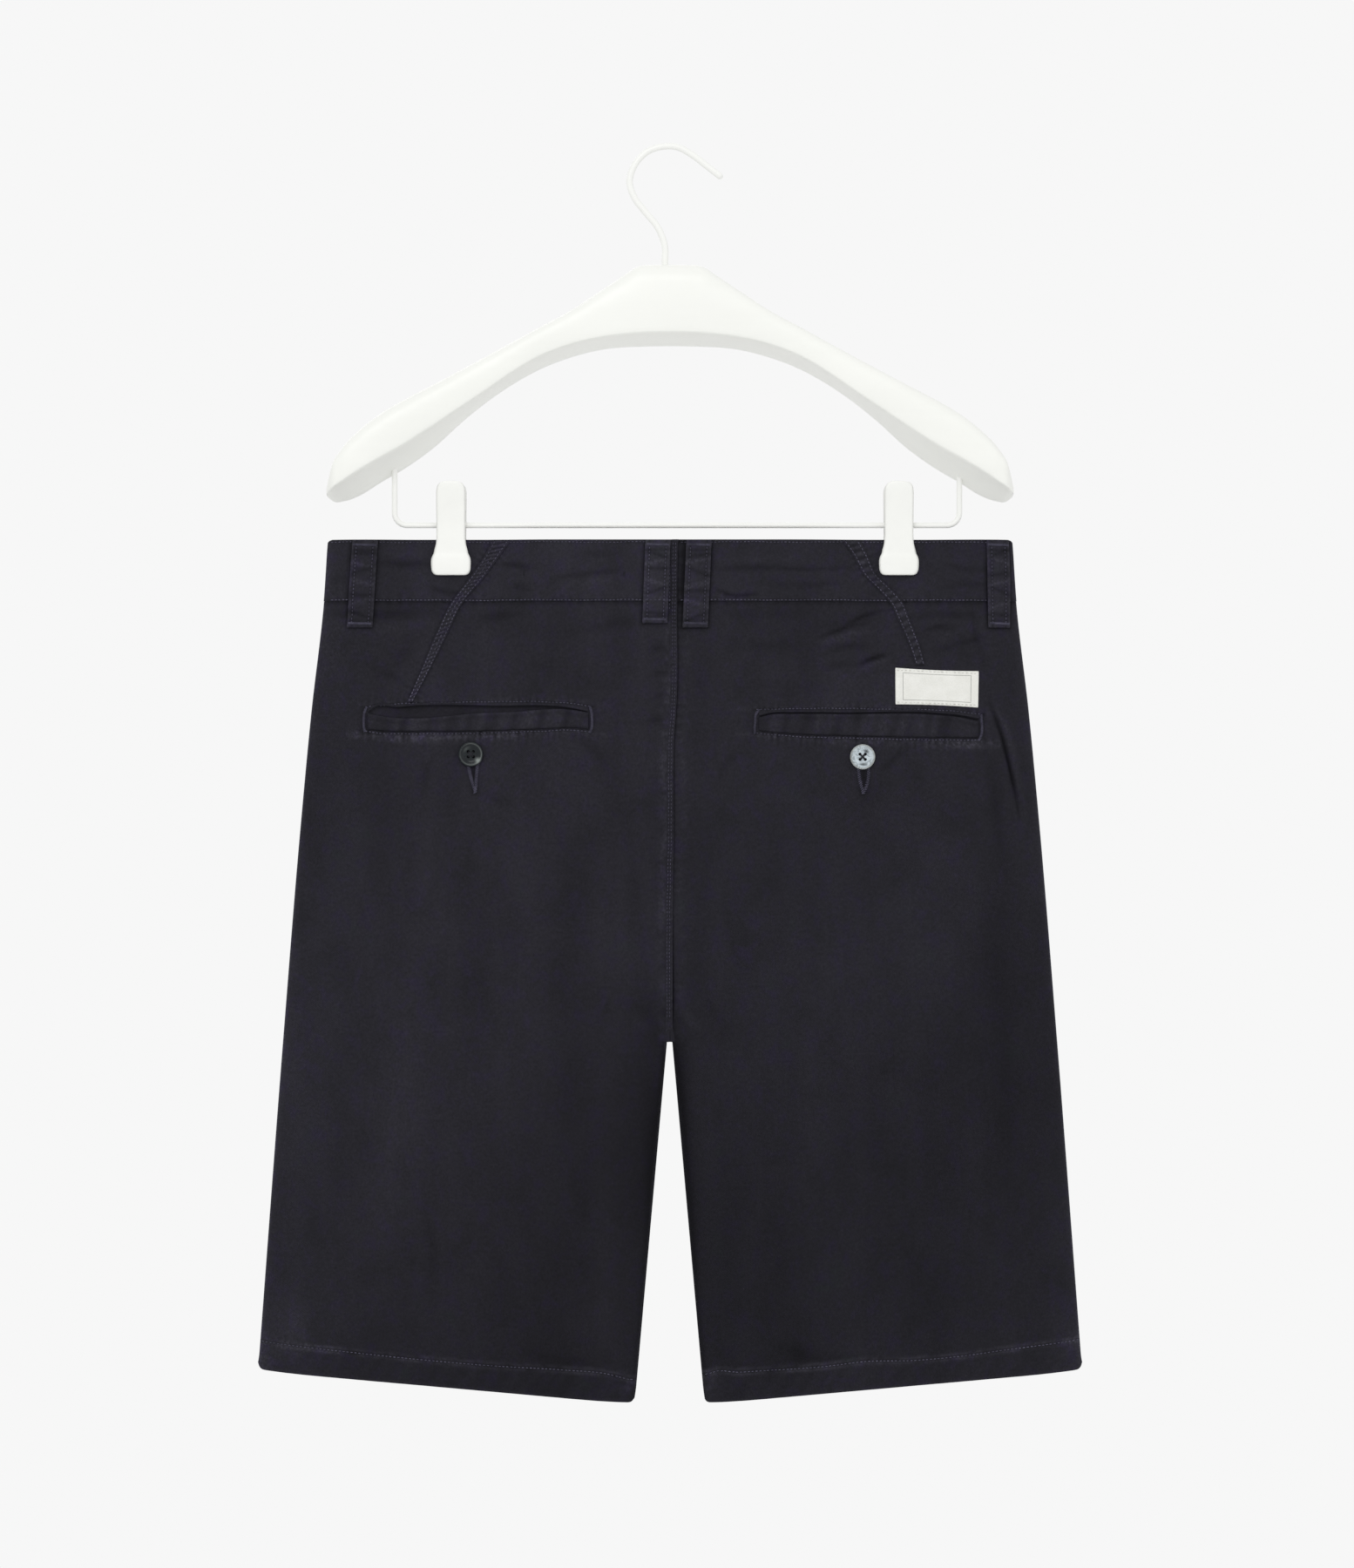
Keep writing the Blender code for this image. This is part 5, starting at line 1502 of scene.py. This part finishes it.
# buttonholes: two whipped sides that run together at the foot
BUTTONHOLES = {
    LEFT: (
        ((-0.1312, 0.1440), (-0.1284, 0.1568), (-0.1262, 0.1630)),
        ((-0.1246, 0.1440), (-0.1256, 0.1560), (-0.1262, 0.1642)),
    ),
    RIGHT: (
        ((0.1218, 0.1455), (0.1232, 0.1575), (0.1252, 0.1640)),
        ((0.1285, 0.1455), (0.1280, 0.1575), (0.1254, 0.1648)),
    ),
}
for side, routes in BUTTONHOLES.items():
    group = Threads()
    for k, route in enumerate(routes):
        satin(
            group, side, BACK, curved(route, 0.001), 0.0023, 91 + k,
            height=0.0007, pitch=0.00125, radius=0.00047, slope=0.0009,
        )
    group.made(f"buttonhole_back_{SIDE_NAMES[side]}", THREAD_SATIN)
group = Threads()
for k, drop in enumerate((0.0186, 0.0214)):
    satin(group, LEFT, FRONT, ((-0.0215, drop), (-0.0020, drop)), 0.0018, 95 + k)
satin(group, LEFT, FRONT, ((-0.0217, 0.0180), (-0.0217, 0.0220)), 0.0016, 97)
group.made("buttonhole_waist", THREAD_SATIN)

# label: short stitches over its long edges, in its own colour
group = Threads()
for k, v in enumerate((0.06, 0.94)):
    ends = label_at(np.array([0.01, 0.99]), np.array([v, v]))
    stitches(group, RIGHT, BACK, ends, 101 + k, LIFT + TRIM, 0.0026, 0.00022, 0.6)
group.made("stitches_label", THREAD_TAPE)

# fly: the curved row, the seam below it, and a bar at its foot
group = Threads()
row = [
    (-0.0335, 0.0425), (-0.0335, 0.0800), (-0.0335, 0.1200), (-0.0333, 0.1490),
    (-0.0300, 0.1650), (-0.0215, 0.1770), (-0.0100, 0.1840), (-0.0012, 0.1862),
]
stitches(group, LEFT, FRONT, curved(row, 0.002), 111, LIFT + TRIM)
row = [(-0.0018, 0.1900), (-0.0018, 0.2500), (-0.0018, 0.3210)]
stitches(group, LEFT, FRONT, curved(row, 0.002), 112)
satin(group, LEFT, FRONT, ((-0.0048, 0.1862), (-0.0010, 0.1905)), 0.0016, 113, LIFT + TRIM)
group.made("stitches_fly", THREAD)

# two small dark tacks that hold an inside label to the waistband: x, drop, length
group = Threads()
for k, (x, drop, tall) in enumerate(((-0.0948, 0.0205, 0.0028), (-0.0298, 0.0214, 0.0020))):
    satin(group, LEFT, BACK, ((x, drop), (x, drop + tall)), 0.0009, 121 + k, radius=0.00024, height=0.0002)
group.made("tacks_waistband", THREAD_DARK)


# ------------------------------------------------------------------ buttons

# Name, side, face, x, drop, how far the cloth below stands out, finish
BUTTONS = (
    ("button_back_left", LEFT, BACK, -0.1290, 0.1395, 0.0, BUTTON_DARK),
    ("button_back_right", RIGHT, BACK, 0.1247, 0.1412, 0.0, BUTTON_PAINTED_REFLECTION),
    ("button_waist", LEFT, FRONT, -0.0120, 0.0200, BAND_RISE, BUTTON_DARK),
)
# Radius and height of a turned button, from the middle of its dish over the rim to its back, in
# millimetres
BUTTON_TURN = (
    (0.00, 1.50), (0.60, 1.50), (1.20, 1.50), (2.00, 1.50), (2.80, 1.51), (3.50, 1.53),
    (4.20, 1.59), (4.80, 1.72), (5.30, 1.92), (5.75, 2.18), (6.10, 2.36), (6.45, 2.46),
    (6.75, 2.44), (7.00, 2.30), (7.20, 2.30), (7.45, 2.38), (7.75, 2.26), (8.00, 1.96),
    (8.12, 1.60), (8.06, 1.18), (7.60, 0.70), (6.60, 0.42), (0.00, 0.40),
)
BUTTON_FACE = 1.2  # what lies higher than this, in millimetres, has a tone
HOLE_RADIUS, HOLE_OFFSET = 0.00100, 0.0017


def dark_face(radius, angle):
    """Tone of the dark button: a thin painted highlight on its rim, strongest at its lower right, a painted
    highlight streak in its lower right and a faint painted glint at its upper left.
    """
    highlight_streak = bell((angle + 0.72) / 0.26) * bell((radius - 6.0) / 1.4)
    glint = 0.20 * bell((angle - 2.3) / 0.5) * bell((radius - 4.6) / 0.8)
    return 0.40 * bell((radius - 6.9) / 0.34) * (0.7 + 0.5 * np.cos(angle + 0.7)) + 1.0 * highlight_streak + glint


def light_face(radius, angle):
    """Tone of the button painted light as a reflection: a greyer rim, and dark clouds at its upper right and
    foot.
    """
    upper = bell((angle - 0.95) / 0.38) * bell((radius - 4.3) / 1.2)
    clouds = upper + bell((angle + 1.5) / 0.45) * bell((radius - 4.9) / 1.0)
    rim = 0.85 * bell((radius - 7.6) / 0.5) + 0.3 * bell((radius - 6.2) / 0.4)
    return rim - 0.95 * clouds - 0.75 * bell((radius - 6.95) / 0.20)


def turned(name, centre, face, profile, segments, finish, drawn):
    """A round piece turned about the axis that faces away from the cloth."""
    points, tone = [], []
    rings = [p for p in profile if p[0] > 0]
    for radius, height in rings:
        for k in range(segments):
            a = 2 * math.pi * k / segments
            across, up = radius * MM * math.cos(a), radius * MM * math.sin(a)
            points.append((centre[0] + across, centre[1] + face * height * MM, centre[2] + up))
            angle = (a + math.pi) % (2 * math.pi) - math.pi
            tone.append(drawn(radius, angle) if height > BUTTON_FACE else 0.0)
    faces = list(tube(len(rings), segments))
    for ring, height in ((0, profile[0][1]), (len(rings) - 1, profile[-1][1])):
        faces += fan(len(points), ring * segments, segments)
        points.append((centre[0], centre[1] + face * height * MM, centre[2]))
        tone.append(0.0)
    return outward(piece(name, points, faces, finish, None, tone))


for name, side, face, x, drop, rise, finish in BUTTONS:
    at = base(side, face, x, drop)
    seat = at[0] + at[1] * rise
    drawn = light_face if finish == BUTTON_PAINTED_REFLECTION else dark_face
    button = turned("turned_" + name, seat, face, BUTTON_TURN, 64, finish, drawn)
    drills = []
    for dx, dz in ((-1, -1), (-1, 1), (1, -1), (1, 1)):
        shape = bmesh.new()
        bmesh.ops.create_cone(
            shape, cap_ends=True, segments=20, radius1=HOLE_RADIUS, radius2=HOLE_RADIUS, depth=0.006
        )
        mesh = bpy.data.meshes.new("drill")
        shape.to_mesh(mesh)
        shape.free()
        drill = linked("drill", mesh)
        drill.location = (seat[0] + dx * HOLE_OFFSET, seat[1], seat[2] + dz * HOLE_OFFSET)
        drill.rotation_euler = (math.pi / 2, 0, 0)
        modifier = button.modifiers.new("hole", "BOOLEAN")
        modifier.operation, modifier.solver, modifier.object = "DIFFERENCE", "EXACT", drill
        drills.append(drill)
    bpy.context.view_layer.update()
    whole = bpy.data.meshes.new_from_object(button.evaluated_get(bpy.context.evaluated_depsgraph_get()))
    button.modifiers.clear()
    button.data = whole
    for drill in drills:
        bpy.data.objects.remove(drill, do_unlink=True)
    button.data.shade_smooth()
    button.data.set_sharp_from_angle(angle=math.radians(40))
    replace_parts(button, name)
    # three threads each way, crossed through the holes
    group = Threads()
    for sign in (-1, 1):
        for k in range(3):
            shift = (k - 1) * 0.00032
            ends = np.array([(-HOLE_OFFSET, -HOLE_OFFSET * sign), (HOLE_OFFSET, HOLE_OFFSET * sign)])
            line = densely(ends, 0.0004) + np.array([shift, -shift * sign]) * 0.7
            heights = 0.00142 + 0.00042 * np.sin(np.linspace(0, np.pi, len(line))) ** 0.6
            heights = heights - 0.0007 * (np.abs(np.linspace(-1, 1, len(line))) > 0.95)
            path = np.stack([seat[0] + line[:, 0], seat[1] + face * heights, seat[2] + line[:, 1]], 1)
            group.strand(path, 0.00028, (0, face, 0))
    group.made("thread_" + name, THREAD_DARK)


# ------------------------------------------------------------------ hanger

# How far out from the middle; z of the top, of the front face's lower edge and of the foot; half the
# thickness; y of the middle

HANGER_ROWS = np.array([
    (0.0000, -0.0754, -0.1210, -0.1268, 0.0175, 0.0000),
    (0.0150, -0.0756, -0.1214, -0.1270, 0.0175, 0.0000),
    (0.0213, -0.0765, -0.1218, -0.1272, 0.0176, 0.0000),
    (0.0280, -0.0810, -0.1223, -0.1274, 0.0176, 0.0000),
    (0.0445, -0.0921, -0.1242, -0.1291, 0.0176, 0.0000),
    (0.0645, -0.1053, -0.1287, -0.1341, 0.0178, 0.0000),
    (0.0844, -0.1162, -0.1364, -0.1417, 0.0180, -0.0003),
    (0.1027, -0.1263, -0.1472, -0.1517, 0.0183, -0.0007),
    (0.1177, -0.1345, -0.1578, -0.1618, 0.0186, -0.0011),
    (0.1343, -0.1435, -0.1689, -0.1752, 0.0189, -0.0017),
    (0.1543, -0.1542, -0.1822, -0.1936, 0.0193, -0.0024),
    (0.1727, -0.1639, -0.1940, -0.2069, 0.0196, -0.0032),
    (0.1892, -0.1739, -0.2032, -0.2167, 0.0198, -0.0040),
    (0.2025, -0.1847, -0.2111, -0.2250, 0.0195, -0.0046),
    (0.2125, -0.1955, -0.2178, -0.2287, 0.0182, -0.0052),
    (0.2191, -0.2068, -0.2220, -0.2290, 0.0139, -0.0057),
    (0.2225, -0.2200, -0.2247, -0.2264, 0.0060, -0.0059),
])
# A section of the hanger: y as a share of half the thickness, then the share of the height from the
# front face's lower edge to the top, and from the foot to that edge
HANGER_SECTION = np.array([
    (-0.45, 1.00, 1.00),
    (-0.80, 0.93, 1.00),
    (-1.00, 0.74, 1.00),
    (-1.00, 0.07, 1.00),
    (-0.93, 0.00, 0.93),
    (0.30, 0.00, 0.08),
    (0.55, 0.00, 0.00),
    (0.85, 0.00, 0.12),
    (1.00, 0.00, 0.70),
    (1.00, 0.74, 1.00),
    (0.80, 0.93, 1.00),
    (0.45, 1.00, 1.00),
])


def softened(ring, turns):
    """Rounds a closed ring of points by cutting its corners."""
    for _ in range(turns):
        after = np.roll(ring, -1, 0)
        ring = np.stack([ring * 0.75 + after * 0.25, ring * 0.25 + after * 0.75], 1)
        ring = ring.reshape(-1, after.shape[1])
    return ring


def hanger_rings():
    """Fine rings along the hanger, close together at its ends."""
    reach = HANGER_ROWS[-1, 0]
    t = np.linspace(0, 1, 74)
    outs = reach * (1 - (1 - t) ** 1.7)
    outs = np.unique(np.concatenate([outs, [0.0213, 0.0246, 0.0180]]))
    rings = []
    for side in (LEFT, RIGHT):
        for out in outs[::-1] if side == LEFT else outs[1:]:
            top, edge, foot, half, middle = (float(along(HANGER_ROWS, k, out)) for k in range(1, 6))
            share = softened(HANGER_SECTION, 2)
            z = edge + (top - edge) * share[:, 1] + (foot - edge) * (1 - share[:, 2])
            y = middle + half * share[:, 0]
            rings.append(np.stack([np.full(len(z), side * out), y, z], 1))
    return rings


def lofted(name, rings, finish):
    """A closed skin over rings of points."""
    count = len(rings[0])
    points = np.concatenate([*rings, rings[0].mean(0)[None], rings[-1].mean(0)[None]])
    faces = list(tube(len(rings), count)) + fan(len(points) - 2, 0, count)
    faces += fan(len(points) - 1, (len(rings) - 1) * count, count)
    return outward(piece(name, points, faces, finish))


wood = lofted("wood_hanger", hanger_rings(), WOOD)
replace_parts(wood, "hanger_body")

HOOK_WIRE, BAR_WIRE, WIRE_SIDES = 0.00215, 0.00185, 20
# x, z
HOOK_ROUTE = (
    (-0.0034, -0.0843),
    (-0.0034, -0.0735),
    (-0.0034, -0.0630),
    (-0.0079, -0.0508),
    (-0.0164, -0.0402),
    (-0.0232, -0.0312),
    (-0.0264, -0.0210),
    (-0.0232, -0.0102),
    (-0.0153, -0.0015),
    (-0.0051, 0.0021),
    (0.0045, 0.0018),
    (0.0136, -0.0028),
    (0.0238, -0.0105),
    (0.0340, -0.0184),
)
BAR_ENDS = (-0.1792, 0.1882)
BAR_TOP, BAR_LEVEL, BAR_BEND = -0.1990, -0.2444, 0.0080


def wire(name, path, radius):
    """A round wire along points (x, y, z), with domed ends."""
    path = np.asarray(path, float)
    way = unit(np.gradient(path, axis=0))
    first = np.tile(np.array([0.0, 1.0, 0.0]), (len(path), 1))
    second = unit(np.cross(way, first))
    turn = np.arange(WIRE_SIDES) * 2 * np.pi / WIRE_SIDES

    def circle(i, r):
        return path[i] + (first[i] * np.cos(turn)[:, None] * r + second[i] * np.sin(turn)[:, None] * r)

    dome = (0.97, 0.8, 0.45)
    rings = [circle(0, radius * math.sqrt(1 - f * f)) + way[0] * radius * (1 - f) for f in dome]
    rings += [circle(i, radius) for i in range(1, len(path) - 1)]
    rings += [circle(-1, radius * math.sqrt(1 - f * f)) - way[-1] * radius * (1 - f) for f in dome[::-1]]
    return lofted(name, rings, WIRE)


def upright(route):
    return np.stack([route[:, 0], np.zeros(len(route)), route[:, 1]], 1)


hook = wire("wire_hook", upright(curved(HOOK_ROUTE, 0.0015)), HOOK_WIRE)
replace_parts(hook, "hook")
# the bar: down at the left, round a bend of 13 points, across, round the other bend and up
bar_route = [(BAR_ENDS[0], BAR_TOP)]
for middle, start in ((BAR_ENDS[0] + BAR_BEND, math.pi), (BAR_ENDS[1] - BAR_BEND, 1.5 * math.pi)):
    for i in range(13):
        a = start + math.pi / 2 * i / 12
        bar_route.append((middle + BAR_BEND * math.cos(a), BAR_LEVEL + BAR_BEND + BAR_BEND * math.sin(a)))
bar_route.append((BAR_ENDS[1], BAR_TOP))
bar_route = np.array(bar_route)
bar_parts = [
    densely(bar_route[:2], 0.004)[:-1],
    bar_route[1:14],
    densely(bar_route[13:15], 0.006)[1:-1],
    bar_route[14:27],
    densely(bar_route[26:28], 0.004)[1:],
]
bar = wire("wire_bar", upright(np.concatenate(bar_parts)), BAR_WIRE)
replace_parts(bar, "bar")

# Clips. Height above the waist edge, half width, how far the inside stands off, thickness, in millimetres.
CLIP_ROWS = np.array([
    (-23.1, 9.4, 0.0, 2.0),
    (-22.7, 10.7, 0.0, 2.5),
    (-21.8, 11.8, 0.0, 2.8),
    (-20.2, 12.5, 0.0, 3.0),
    (-17.5, 12.8, 0.0, 3.1),
    (-14.5, 12.9, 0.0, 3.1),
    (-12.5, 12.7, 0.0, 3.0),
    (-10.8, 12.1, 0.0, 2.9),
    (-9.4, 11.4, 0.0, 2.7),
    (-6.5, 10.7, 0.0, 2.6),
    (-2.5, 9.7, 0.0, 2.7),
    (1.0, 9.4, 0.0, 2.8),
    (9.0, 9.4, 0.3, 2.6),
    (17.0, 9.4, 1.2, 2.4),
    (28.0, 9.4, 2.6, 2.3),
    (32.5, 9.3, 3.1, 2.2),
    (34.8, 8.7, 3.3, 2.1),
    (36.4, 7.5, 3.45, 1.9),
    (37.4, 5.6, 3.55, 1.7),
    (37.9, 3.4, 3.6, 1.4),
])


def jaw(name, side, face):
    """One jaw: a rounded plate with a thicker pad at its foot."""
    low, high = CLIP_ROWS[0, 0], CLIP_ROWS[-1, 0]
    heights = [np.linspace(low, -19, 12), np.linspace(-18.2, 31, 60), np.linspace(31.5, high, 16)]
    rings = []
    for h in np.concatenate(heights):
        if -20 < h < 31:
            half, beyond, thick = (float(along(CLIP_ROWS, k, h)) for k in (1, 2, 3))
        else:
            half, beyond, thick = (float(np.interp(h, CLIP_ROWS[:, 0], CLIP_ROWS[:, k])) for k in (1, 2, 3))
        s = np.linspace(-1, 1, 17)
        crown = 0.30 * (1 - s**2)
        round_off = 0.75 * np.clip((np.abs(s) - 0.80) / 0.20, 0, 1) ** 2.2
        outer = beyond + thick + crown * 0.5 - round_off - 0.15
        x = CLIP_CENTRES[side] + np.concatenate([s * half, np.array([0.86, 0.0, -0.86]) * half]) * MM
        y = JAW_INSIDE + np.concatenate([outer, np.full(3, beyond + 0.02)]) * MM
        rings.append(np.stack([x, face * y, np.full(len(x), -WAIST_BELOW_HOOK + h * MM)], 1))
    return lofted(name, rings, PLASTIC)


def coil(name, side):
    """The spring's barrel, as close turns of wire round the bar."""
    turns, wire_radius, radius = 8, 0.00058, BAR_WIRE + GAP + 0.00062
    t = np.linspace(0, turns * 2 * np.pi, turns * 18)
    x = CLIP_CENTRES[side] - 0.0054 + 0.0108 * t / t[-1]
    path = np.stack([x, radius * np.cos(t), BAR_LEVEL + radius * np.sin(t)], 1)
    way = unit(np.gradient(path, axis=0))
    first = np.stack([0 * t, np.cos(t), np.sin(t)], 1)
    second = np.cross(way, first)
    turn = np.arange(8) * np.pi / 4
    across, up = np.cos(turn)[:, None], np.sin(turn)[:, None]
    rings = [p + wire_radius * (a * across + b * up) for p, a, b in zip(path, first, second)]
    return lofted(name, rings, WIRE)


for side in (LEFT, RIGHT):
    for face in (BACK, FRONT):
        where = f"{SIDE_NAMES[side]}_{FACE_NAMES[face]}"
        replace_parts(jaw("jaw_" + where, side, face), "clip_" + where)
    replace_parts(coil(f"spring_{SIDE_NAMES[side]}", side), f"clip_{SIDE_NAMES[side]}_spring")


# ------------------------------------------------------------------ studio

DISTANCE = 2.5
FRAME_HEIGHT = 1.0206
camera_data = bpy.data.cameras.new("camera")
camera_data.sensor_width = 36.0
camera_data.lens = 36.0 * DISTANCE / FRAME_HEIGHT
camera_data.clip_end = 100
camera = linked("camera", camera_data)
camera.location = (0.0045, -DISTANCE, -0.4128)
camera.rotation_euler = (math.pi / 2, 0, 0)
bpy.context.scene.camera = camera

FLOOR_LEVEL, FLOOR_RADIUS = -1.20, 1.1
floor_mesh = bpy.data.meshes.new("floor")
turn = np.linspace(0, 2 * np.pi, 96, endpoint=False)
rim = [(FLOOR_RADIUS * math.cos(a), FLOOR_RADIUS * math.sin(a), FLOOR_LEVEL) for a in turn]
floor_mesh.from_pydata(rim, [], [tuple(range(96))])
floor = linked("floor", floor_mesh)
t = Tree("pale floor")
t.set(Base_Color=(0.90, 0.90, 0.90, 1), Roughness=0.9, Specular_IOR_Level=0.1)
floor_mesh.materials.append(t.material)


def area_light(name, at, towards, size, power):
    data = bpy.data.lights.new(name, "AREA")
    data.shape, data.size, data.energy = "SQUARE", size, power
    light = linked(name, data)
    light.location = at
    way = np.array(towards, float) - np.array(at, float)
    pitch = math.atan2(math.hypot(way[0], way[1]), -way[2])
    light.rotation_euler = (pitch, 0, math.atan2(way[1], way[0]) - math.pi / 2)


area_light("key", (-0.5, -2.4, 1.3), (0, 0, -0.45), 1.3, 17.5)
area_light("fill", (1.9, -1.9, 0.2), (0, 0, -0.5), 1.8, 2.5)
area_light("back", (-0.6, 2.6, 0.9), (0, 0, -0.4), 2.0, 8)

world = bpy.data.worlds.new("pale studio")
bpy.context.scene.world = world
world.use_nodes = True
nodes, links = world.node_tree.nodes, world.node_tree.links
shown = nodes["Background"]
shown.inputs["Color"].default_value = (0.93, 0.93, 0.93, 1)
lit = nodes.new("ShaderNodeBackground")
lit.inputs["Color"].default_value = (1.0, 1.0, 1.0, 1)
lit.inputs["Strength"].default_value = 0.84
ray = nodes.new("ShaderNodeLightPath")
both = nodes.new("ShaderNodeMixShader")
links.new(ray.outputs["Is Camera Ray"], both.inputs[0])
links.new(lit.outputs[0], both.inputs[1])
links.new(shown.outputs[0], both.inputs[2])
links.new(both.outputs[0], nodes["World Output"].inputs["Surface"])

scene = bpy.context.scene
scene.view_settings.view_transform = "Standard"
scene.view_settings.look = "None"
scene.view_settings.exposure = 0.0
